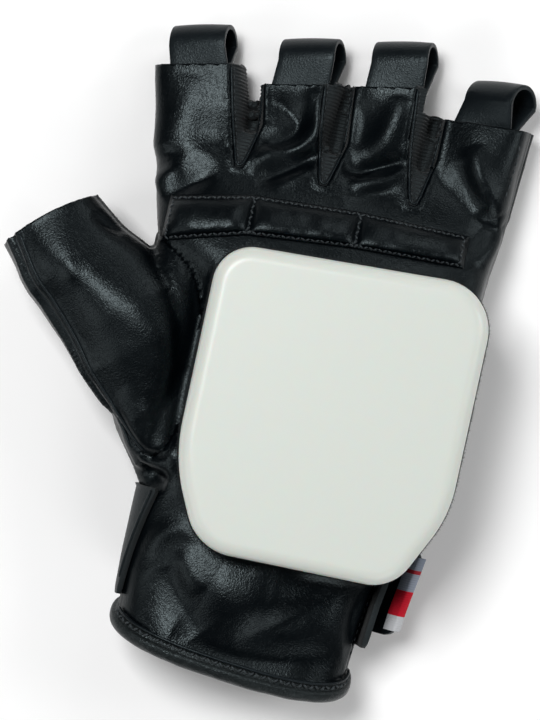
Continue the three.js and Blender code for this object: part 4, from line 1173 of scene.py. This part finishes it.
def quilted_pad():
    """The padded strip with three raised cells. It returns its surface, for the stitches."""
    columns, rows = ((300, 64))
    top = np.zeros((columns, rows, 3))
    low = np.zeros((columns, rows, 3))
    for i, u in enumerate(np.linspace(0, 1, columns)):
        for j, v in enumerate(np.linspace(0, 1, rows)):
            x, y = pad_place(u, v)
            hit = surface_at(x, y)
            z = hit[0].z if hit else 20
            rise = pad_bulge(u, v)
            inward = min(u * PAD_LONG, (1 - u) * PAD_LONG, v * PAD_WIDE, (1 - v) * PAD_WIDE)
            border = min(1, inward / PAD_BORDER)
            wrinkle = 0.3 * noise.noise(Vector((x / 4.0, y / 9.0, 2.0))) * rise
            top[i, j] = x, y, z + PAD_LIFT + PAD_FLAT * border**0.5 + PAD_CROWN * rise + wrinkle
            low[i, j] = x, y, z - PAD_UNDER
    for layer in (top, low):
        z = layer[:, :, 2]
        for _ in range(3):
            around = (z[:-2, 1:-1] + z[2:, 1:-1] + z[1:-1, :-2] + z[1:-1, 2:]) / 4
            z[1:-1, 1:-1] += 0.5 * (around - z[1:-1, 1:-1])
    verts, faces = sheet(low, top)
    made = make_object("quilted_pad", verts, faces)
    dress(made, LEATHER_LOOK, ("quilted_pad",))
    return BVHTree.FromPolygons(verts.tolist(), [list(f) for f in faces])


pad_surface = quilted_pad()


# Puck and its fastener

loop_patch_low = PALM_DEPTH + SEAM_GAP
hook_patch_low = loop_patch_low + PATCH_THICK + SEAM_GAP
puck_low = hook_patch_low + PATCH_THICK + SEAM_GAP
CORNER_STEPS, EDGE_STEPS = 12, 10


def stack(outlines):
    """A solid from (inset, z) rows over the puck's outline."""
    rings = []
    for inset, z in outlines:
        outline = puck_outline(inset, CORNER_STEPS)
        rings.append(np.column_stack([outline, np.full(len(outline), z)]))
    verts, faces = tube(rings)
    return verts, outward(verts, faces)


def puck():
    """The slider, with a rounded edge to its face and a small round at its back."""
    top = puck_low + PUCK_THICK
    rows = [(1.0, puck_low), (0.3, puck_low + 0.25), (0, puck_low + 1)]
    for k in range(EDGE_STEPS + 1):
        angle = math.pi / 2 * k / EDGE_STEPS
        rows.append((PUCK_EDGE * (1 - math.cos(angle)), top - PUCK_EDGE * (1 - math.sin(angle))))
    rows += [(PUCK_EDGE + step, top) for step in (0.6, 1.6)]
    dress(make_object("puck", *stack(rows)), PUCK_LOOK, ("puck",))


puck()
patches = [("loop_patch", -PATCH_BORDER, loop_patch_low), ("hook_patch", HOOK_INSET, hook_patch_low)]
for name, inset, low in patches:
    patch = make_object(name, *stack([(inset, low), (inset, low + PATCH_THICK)]))
    dress(patch, FUZZ_LOOK, (name,))


FIBRE_COUNT = 3600
FIBRE_HALF, FIBRE_THICK, FIBRE_SHORT, FIBRE_LONG = 0.06, 0.1, 0.5, 1.15


def patch_fuzz():
    """Short loose fibres that stand out of the loop patch's edge."""
    rng = np.random.default_rng(5)
    outline = puck_outline(-PATCH_BORDER, CORNER_STEPS)
    ends = np.roll(outline, -1, 0)
    lengths = np.linalg.norm(ends - outline, axis=1)
    verts, faces = [], []
    for _ in range(FIBRE_COUNT):
        k = rng.choice(len(outline), p=lengths / lengths.sum())
        along = (ends[k] - outline[k]) / lengths[k]
        out = np.array([-along[1], along[0]])
        spot = outline[k] + along * lengths[k] * rng.random()
        start = np.array([*(spot - out * 0.2), loop_patch_low + PATCH_THICK * rng.random()])
        aim = np.array([*(out * rng.uniform(0.3, 1) + along * rng.normal(0, 0.6)), rng.normal(0, 0.5)])
        tip = start + aim / np.linalg.norm(aim) * rng.uniform(FIBRE_SHORT, FIBRE_LONG)
        side = np.array([*along, 0]) * FIBRE_HALF
        base = len(verts)
        verts += [start - side, start + side, start + [0, 0, FIBRE_THICK], tip]
        faces += [(base, base + 1, base + 3), (base + 1, base + 2, base + 3), (base + 2, base, base + 3),
                  (base, base + 2, base + 1)]
    made = make_object("loop_patch_fuzz", np.array(verts), faces, smooth=False)
    dress(made, FUZZ_LOOK, ())


patch_fuzz()


# Hem


HEM_LUMPS = 0.05  # of the roll's radius
HEM_GROOVE, GROOVE_PLACE, GROOVE_WIDTH = 0.75, 0.72, 0.16


def rim_point(angle, grow):
    """A point of the hand on the hem's plane."""
    y = 0.0
    for _ in range(6):
        spot = hand_point(y, angle, grow)
        y = (hem_normal @ hem_middle - hem_normal[0] * spot[0] - hem_normal[2] * spot[2]) / hem_normal[1]
    return np.array([spot[0], y, spot[2]])


def cuff_hem():
    """The padded roll round the wrist's opening. It returns the roll's middle line."""
    steps, sides = ((360, 36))
    centres = np.array([rim_point(2 * math.pi * k / steps, -LEATHER / 2) for k in range(steps)])
    centres -= hem_normal * SEAM_GAP
    angles = circle(sides)
    up, out = np.cos(angles), np.sin(angles)
    groove = HEM_GROOVE * bell(up - GROOVE_PLACE, GROOVE_WIDTH) * (np.abs(out) > 0.3)
    rings = []
    for k, centre in enumerate(centres):
        side = np.cross(centres[(k + 1) % steps] - centres[k - 1], hem_normal)
        side /= np.linalg.norm(side)
        lumps = np.array([noise.noise(Vector(centre / 6 + [math.cos(a), math.sin(a), 0])) for a in angles])
        radius = HEM_ROLL / 2 * (1 + HEM_LUMPS * lumps) - groove
        rings.append(centre + radius[:, None] * (up[:, None] * hem_normal + out[:, None] * side))
    verts = np.concatenate(rings)
    made = make_object("cuff_hem", verts, outward(verts, ring_faces(steps, sides, closed=True)))
    dress(made, HEM_LOOK, ("cuff_hem",))
    return centres


hem_centres = cuff_hem()


# Wrist strap, tab and ribbon

LABEL_BEND = 0.4  # how far the ribbon's fold bulges, a share of its half thickness
strap_high = STRAP_PLACE * CUFF_LENGTH
strap_inner = 1.5 * SEAM_GAP
tab_inner = strap_inner + STRAP_THICK + 1.5 * SEAM_GAP
STRAP = dict(low=strap_high - STRAP_WIDTH, high=strap_high, inner=strap_inner, thick=STRAP_THICK,
             corner=STRAP_CORNER, start=163, reach=22, end=338, steps=60, out=STRAP_FLARE, rise=STRAP_RISE)
tab_high = strap_high - TAB_INSET
TAB = dict(low=tab_high - TAB_WIDTH, high=tab_high, inner=tab_inner, thick=TAB_THICK,
           corner=TAB_CORNER, start=284, reach=0, end=325, steps=20, out=TAB_FLARE, rise=TAB_RISE)


def band_line(band, y):
    """A band's middle line at y: round the cuff, then out in a curve and a short straight end."""
    start = band["start"] - band["reach"] * (y - band["low"]) / (band["high"] - band["low"])
    angles = np.radians(np.linspace(start, band["end"], band["steps"] + 1))
    wrap = np.array([hand_point(y, angle, 0)[[0, 2]] for angle in angles])
    start = wrap[-1]
    tangent = (start - wrap[-2]) / np.linalg.norm(start - wrap[-2])
    end = start + [band["out"], band["rise"]]
    bend = start + tangent * min(band["out"], band["rise"]) * 0.7
    straight = (end - bend) / np.linalg.norm(end - bend)
    before = end - straight * LABEL_WRAP
    shares = np.linspace(0, 1, 13)[1:, None]
    curve = (1 - shares) ** 2 * start + 2 * shares * (1 - shares) * bend + shares**2 * before
    return np.concatenate([wrap, curve, [end]])


def band_rows(line, offset, y):
    """A band's points at y, off its middle line."""
    along = headings(line)
    x, z = line[:, 0] + along[:, 1] * offset, line[:, 1] - along[:, 0] * offset
    return np.column_stack([x, np.full(len(line), y), z])


CORNER_SHARE = 0.15  # of a band's width, along which its end is rounded


def band_piece(name, band, look):
    """A flat band along its line, with its end rounded and its edges drawn in."""
    near, far = np.linspace(0, CORNER_SHARE, 7), np.linspace(1 - CORNER_SHARE, 1, 7)
    shares = np.concatenate([near, np.linspace(CORNER_SHARE, 1 - CORNER_SHARE, 12)[1:-1], far])

    def layer(offset):
        grid = []
        for share in shares:
            y = band["low"] + (band["high"] - band["low"]) * share
            line = band_line(band, y)
            corner = max(0, 1 - min(share, 1 - share) / CORNER_SHARE)
            back = (1 - math.sqrt(max(0, 1 - corner**2))) * band["corner"]
            line[-1] += (line[-2] - line[-1]) * min(back / LABEL_WRAP, 0.98)
            edge = 0.25 * math.exp(-((min(share, 1 - share) * STRAP_WIDTH / 1.2) ** 2))
            grid.append(band_rows(line, offset - math.copysign(edge, offset - band["inner"] - 0.1), y))
        return np.array(grid)

    verts, faces = sheet(layer(band["inner"]), layer(band["inner"] + band["thick"]))
    keep = (verts - hem_middle) @ hem_normal
    low = HEM_ROLL / 2 + 1
    verts[:, 1] += np.maximum(0, low - keep) / hem_normal[1]
    made = bevelled(make_object(name, verts, faces), BAND_ROUND)
    dress(made, look, (name,))


band_piece("wrist_strap", STRAP, STRAP_LOOK)
band_piece("strap_tab", TAB, BAND_LOOK)


def ribbon_label():
    """The ribbon folded over the tab's edge."""
    middle = (TAB["low"] + TAB["high"]) / 2
    low, high = middle - LABEL_WIDTH / 2, middle + LABEL_WIDTH / 2

    def layer(grow):
        grid = []
        for y in np.linspace(low, high, 9):
            line = band_line(TAB, y)
            along = (line[-1] - line[-2]) / np.linalg.norm(line[-1] - line[-2])
            near = tab_inner - SEAM_GAP - grow
            far = tab_inner + TAB_THICK + SEAM_GAP + grow
            middle_out, half = (near + far) / 2, (far - near) / 2
            arc = [(SEAM_GAP - LABEL_WRAP, near), (-LABEL_WRAP / 2, near)]
            for t in np.linspace(0, math.pi, 9):
                past = SEAM_GAP + grow - half * LABEL_BEND + half * LABEL_BEND * math.sin(t)
                arc.append((past, middle_out - half * math.cos(t)))
            arc += [(-LABEL_WRAP / 2, far), (SEAM_GAP - LABEL_WRAP, far)]
            x, z = line[-1]
            ax, az = along
            grid.append([(x + ax * s + az * o, y, z + az * s - ax * o) for s, o in arc])
        return np.array(grid)

    verts, faces = sheet(layer(0), layer(LABEL_THICK))
    made = bevelled(make_object("ribbon_label", verts, faces), LABEL_ROUND)
    look = ribbon_material((low + shift[1]) * MM, (high + shift[1]) * MM)
    dress(made, look, ("ribbon_label",))


ribbon_label()


# Stitches

STITCH_SHAPE = [(math.cos(a), math.sin(a)) for a in circle(6)]
STITCH_STATIONS = [  # share of the length, lift and thickness
    (-0.5, -1.1, 0.45), (-0.38, -0.1, 0.9), (0, 0.25, 1), (0.38, -0.1, 0.9), (0.5, -1.1, 0.45)
]


def resample(line, pitch):
    """Places and directions every pitch along a line."""
    line = np.asarray(line, float)
    lengths = np.linalg.norm(np.diff(line, axis=0), axis=1)
    total = np.concatenate([[0], np.cumsum(lengths)])
    count = max(2, int(total[-1] / pitch))
    at = (np.arange(count) + 0.5) * total[-1] / count
    table = np.column_stack([total, line])
    return look_up(table, at), unit(look_up(table, at + 0.2) - look_up(table, at - 0.2))


def one_stitch(centre, along, up, length, width):
    """A short thread that dips into the leather at both ends."""
    side = np.cross(along, up)
    verts = []
    for share, lift, fat in STITCH_STATIONS:
        middle = centre + along * share * length
        for c, s in STITCH_SHAPE:
            verts.append(middle + up * (lift + s * fat) * width / 2 + side * c * fat * width / 2)
    return verts, ring_faces(len(STITCH_STATIONS), len(STITCH_SHAPE))


def stitch_piece(name, rows):
    """Stitches along lines seen from above, laid on the surface below them."""
    verts, faces = [], []
    for row in rows:
        spots, along = resample(row["line"], row["pitch"])
        ups = row.get("ups")
        tree = pad_surface if row.get("on") == "pad" else surface
        for k, (spot, heading) in enumerate(zip(spots, along)):
            turn = math.radians(row.get("slant", 0) * (1 if k % 2 else -1))
            if ups is None:
                hit, normal, _, _ = tree.ray_cast(Vector((spot[0], spot[1], ABOVE)), Vector((0, 0, -1)))
                if hit is None:
                    continue
                up = np.array(normal) * (1 if normal.z > 0 else -1)
                heading = np.array([heading[0], heading[1], 0])
            else:
                hit, up = spot, ups[int(k / len(spots) * len(ups))]
            flat = heading * math.cos(turn) + np.cross(up, heading) * math.sin(turn)
            flat -= up * (flat @ up)
            flat /= np.linalg.norm(flat)
            made, quads = one_stitch(np.array(hit), flat, up, row["length"], row["width"])
            faces += [tuple(i + len(verts) for i in face) for face in quads]
            verts += made
    dress(make_object(name, np.array(verts), faces), THREAD_LOOK, ())


def shifted(line, by):
    """A line moved sideways in the plane."""
    line = np.asarray(line, float)
    along = unit(np.gradient(line, axis=0))
    return line + np.stack([-along[:, 1], along[:, 0]], 1) * by


def pad_line(points, count=40):
    """A line on the pad through (u, v) shares."""
    places = look_up_rows(points, np.linspace(0, len(points) - 1, count))
    return np.array([pad_place(u, v) for u, v in places])


WELT_LIFT = 0.1  # of a welt's middle line above the leather


def cord_piece(name, rows, look, radius=0.42):
    """Thin welts laid along lines seen from above, on the surface below them, or along lines in space."""
    verts, faces = [], []
    for row in rows:
        spots, _ = resample(smooth_line(row, 2), 0.8)
        if spots.shape[1] == 2:
            hits = [surface_at(x, y) for x, y in spots]
            hits = [hit for hit in hits if hit and hit[1].z > 0.15]
            spots = np.array([np.array(spot) + np.array(normal) * WELT_LIFT for spot, normal in hits])
        if len(spots) < 4:
            continue
        for _ in range(3):
            spots[1:-1] += 0.5 * ((spots[:-2] + spots[2:]) / 2 - spots[1:-1])
        along = unit(np.gradient(spots, axis=0))
        side = unit(np.cross(along, (0, 0, 1)))
        up = np.cross(side, along)
        steps = np.arange(len(spots))
        girth = radius * np.clip(np.minimum(steps, steps[::-1]) / 2 + 0.35, 0, 1)
        rings = []
        for a in circle(8):
            rings.append(spots + (girth * math.cos(a))[:, None] * side + (girth * math.sin(a))[:, None] * up)
        base = len(verts)
        verts += np.stack(rings, 1).reshape(-1, 3).tolist()
        faces += [tuple(i + base for i in face) for face in ring_faces(len(spots), 8)]
    dress(make_object(name, np.array(verts), faces), look, ())


pad_stitch = dict(pitch=1.55, length=1.75, width=0.7, slant=38, on="pad")
pad_lines = [pad_line([(0.012, v), (0.5, v), (0.985, v)], 80) for v in (0.075, 0.925)]
pad_lines += [pad_line([(u, 0.1), (u, 0.9)]) for u in (0.015, 1 / 3, 2 / 3, 0.985)]
pad_rows = [dict(line=line, **pad_stitch) for line in pad_lines]
stitch_piece("pad_stitches", pad_rows)

seam_stitch = dict(pitch=2.3, length=1.6, width=0.5)
gusset_rows = []
for outline in wedges.values():
    gusset_rows += [dict(line=shifted(half, 1.1), **seam_stitch) for half in (outline[:4], outline[3:])]
stitch_piece("gusset_stitches", gusset_rows)
cord_piece("gusset_welts", [shifted(outline, 0.25) for outline in wedges.values()], BAND_LOOK)


def thumb_line(angle, steps=70):
    """A line along the outer side of the thumb, at an angle in degrees above its seam."""
    root, turn = thumb_axes()
    tilt, rise = math.radians(THUMB_SEAM_TILT), math.radians(angle)
    aim = np.array([-math.cos(tilt), 0, math.sin(tilt)]) * math.cos(rise)
    aim += np.array([math.sin(tilt), 0, math.cos(tilt)]) * math.sin(rise)
    spots = []
    for y in np.linspace(THUMB_LENGTH + 0.6, -0.3 * THUMB_LENGTH, steps):
        core = root + turn @ thumb_core(y)
        hit, _, _, _ = surface.ray_cast(Vector(core + turn @ aim * 45), Vector(-(turn @ aim)))
        if hit is None:
            continue
        if hit.y < 55 or (spots and np.linalg.norm(np.array(hit) - spots[-1]) > 3.5):
            break
        spots.append(np.array(hit))
    return np.array(spots)


cord_piece("thumb_welts", [thumb_line(0), thumb_line(9)], BAND_LOOK, 0.5)


def hem_line(along, out, start, end):
    """A line beside the hem's roll, and its outward directions, over a range of its steps as shares."""
    steps = len(hem_centres)
    middle = hem_centres.mean(0)
    spots, ups = [], []
    for k in range(int(start * steps), int(end * steps)):
        centre = hem_centres[k % steps]
        side = centre - middle - hem_normal * ((centre - middle) @ hem_normal)
        tangent = hem_centres[(k + 1) % steps] - hem_centres[k % steps - 1]
        side = np.cross(np.cross(tangent, side), tangent)
        side /= np.linalg.norm(side)
        spots.append(centre + hem_normal * along + side * out)
        ups.append(side)
    return np.array(spots), np.array(ups)


welt, _ = hem_line(4.0, 1.3, -0.02, 0.47)
cord_piece("cuff_welt", [welt], BAND_LOOK, 0.5)
strap_edge = []
for y in np.linspace(STRAP["low"] + 5, STRAP["high"] - 0.5, 40):
    share = (y - STRAP["low"]) / STRAP_WIDTH
    angle = math.radians(STRAP["start"] - STRAP["reach"] * share + 1.5)
    strap_edge.append(hand_point(y, angle, strap_inner + STRAP_THICK))
cord_piece("strap_welt", [np.array(strap_edge)], BAND_LOOK, 0.5)

CUFF_SEAM = [(372, 596), (365, 614), (356, 640), (351, 660)]
LITTLE_SEAM = [(523, 142), (520, 160), (514, 180), (508, 196)]
cuff_rows = [
    dict(line=from_photo(CUFF_SEAM), **seam_stitch),
    dict(line=shifted(from_photo(CUFF_SEAM), 1.7), **seam_stitch),
    dict(line=from_photo(LITTLE_SEAM), **seam_stitch),
]
stitch_piece("side_stitches", cuff_rows)
hem_spots, hem_ups = hem_line(2.75, 1.75, -0.02, 0.47)
hem_row = dict(line=hem_spots, ups=hem_ups, pitch=2.0, length=1.8, width=0.75, slant=42)
stitch_piece("hem_stitches", [hem_row])


# Floor, light and camera


FLOOR_HALF = 3  # in metres
WORLD_LIGHT = 0.035
LIGHTS = [  # name, across, up the picture, height, size in metres, watts
    ("key", -0.32, 0.36, 1.2, 0.44, 12.6),
    ("left", -1.1, -0.3, 0.75, 0.6, 3.2),
    ("right", 1.1, 0.2, 0.75, 0.6, 5.2),
    ("below", 0.4, -1.2, 0.75, 0.6, 5.2),
    ("above", 0.6, 1.2, 0.75, 0.6, 3.2),
]


def studio():
    """A white floor, a faint white world and the lamps, which aim at the puck."""
    floor = bpy.data.meshes.new("floor")
    corners = [(x * FLOOR_HALF, y * FLOOR_HALF, 0) for x, y in ((-1, -1), (1, -1), (1, 1), (-1, 1))]
    floor.from_pydata(corners, [], [(0, 1, 2, 3)])
    made = bpy.data.objects.new("floor", floor)
    bpy.context.scene.collection.objects.link(made)
    look, _, _ = new_material("floor_white", (0.97, 0.97, 0.97), 0.9)
    floor.materials.append(look)

    world = bpy.data.worlds.new("studio")
    bpy.context.scene.world = world
    world.use_nodes = True
    background = world.node_tree.nodes["Background"]
    background.inputs["Color"].default_value = (1, 1, 1, 1)
    background.inputs["Strength"].default_value = WORLD_LIGHT

    centre = Vector(((PUCK_CENTRE[0] + shift[0]) * MM, (PUCK_CENTRE[1] + shift[1]) * MM, 0.02))
    across = Vector((math.cos(PHOTO_LEAN), math.sin(PHOTO_LEAN), 0))
    upward = Vector((-math.sin(PHOTO_LEAN), math.cos(PHOTO_LEAN), 0))
    for name, right, up, height, size, watts in LIGHTS:
        light = bpy.data.lights.new(name, "AREA")
        light.shape = "SQUARE"
        light.size = size
        light.energy = watts
        lamp = bpy.data.objects.new(name, light)
        lamp.location = centre + across * right + upward * up + Vector((0, 0, height))
        lamp.rotation_euler = (centre - lamp.location).to_track_quat("-Z", "Y").to_euler()
        bpy.context.scene.collection.objects.link(lamp)


def camera():
    """Straight above, at the photo's scale and turn."""
    at = from_photo([(PHOTO_SIZE[0] / 2, PHOTO_SIZE[1] / 2)])[0] + shift[:2]
    data = bpy.data.cameras.new("camera")
    data.sensor_fit = "VERTICAL"
    data.sensor_height = SENSOR
    data.lens = SENSOR * (CAMERA_HEIGHT - CAMERA_PLANE) / (PHOTO_SIZE[1] * PHOTO_SCALE)
    made = bpy.data.objects.new("camera", data)
    made.location = (at[0] * MM, at[1] * MM, CAMERA_HEIGHT * MM)
    made.rotation_euler = (0, 0, PHOTO_LEAN)
    bpy.context.scene.collection.objects.link(made)
    bpy.context.scene.camera = made


studio()
camera()
bpy.context.scene.view_settings.view_transform = "Standard"
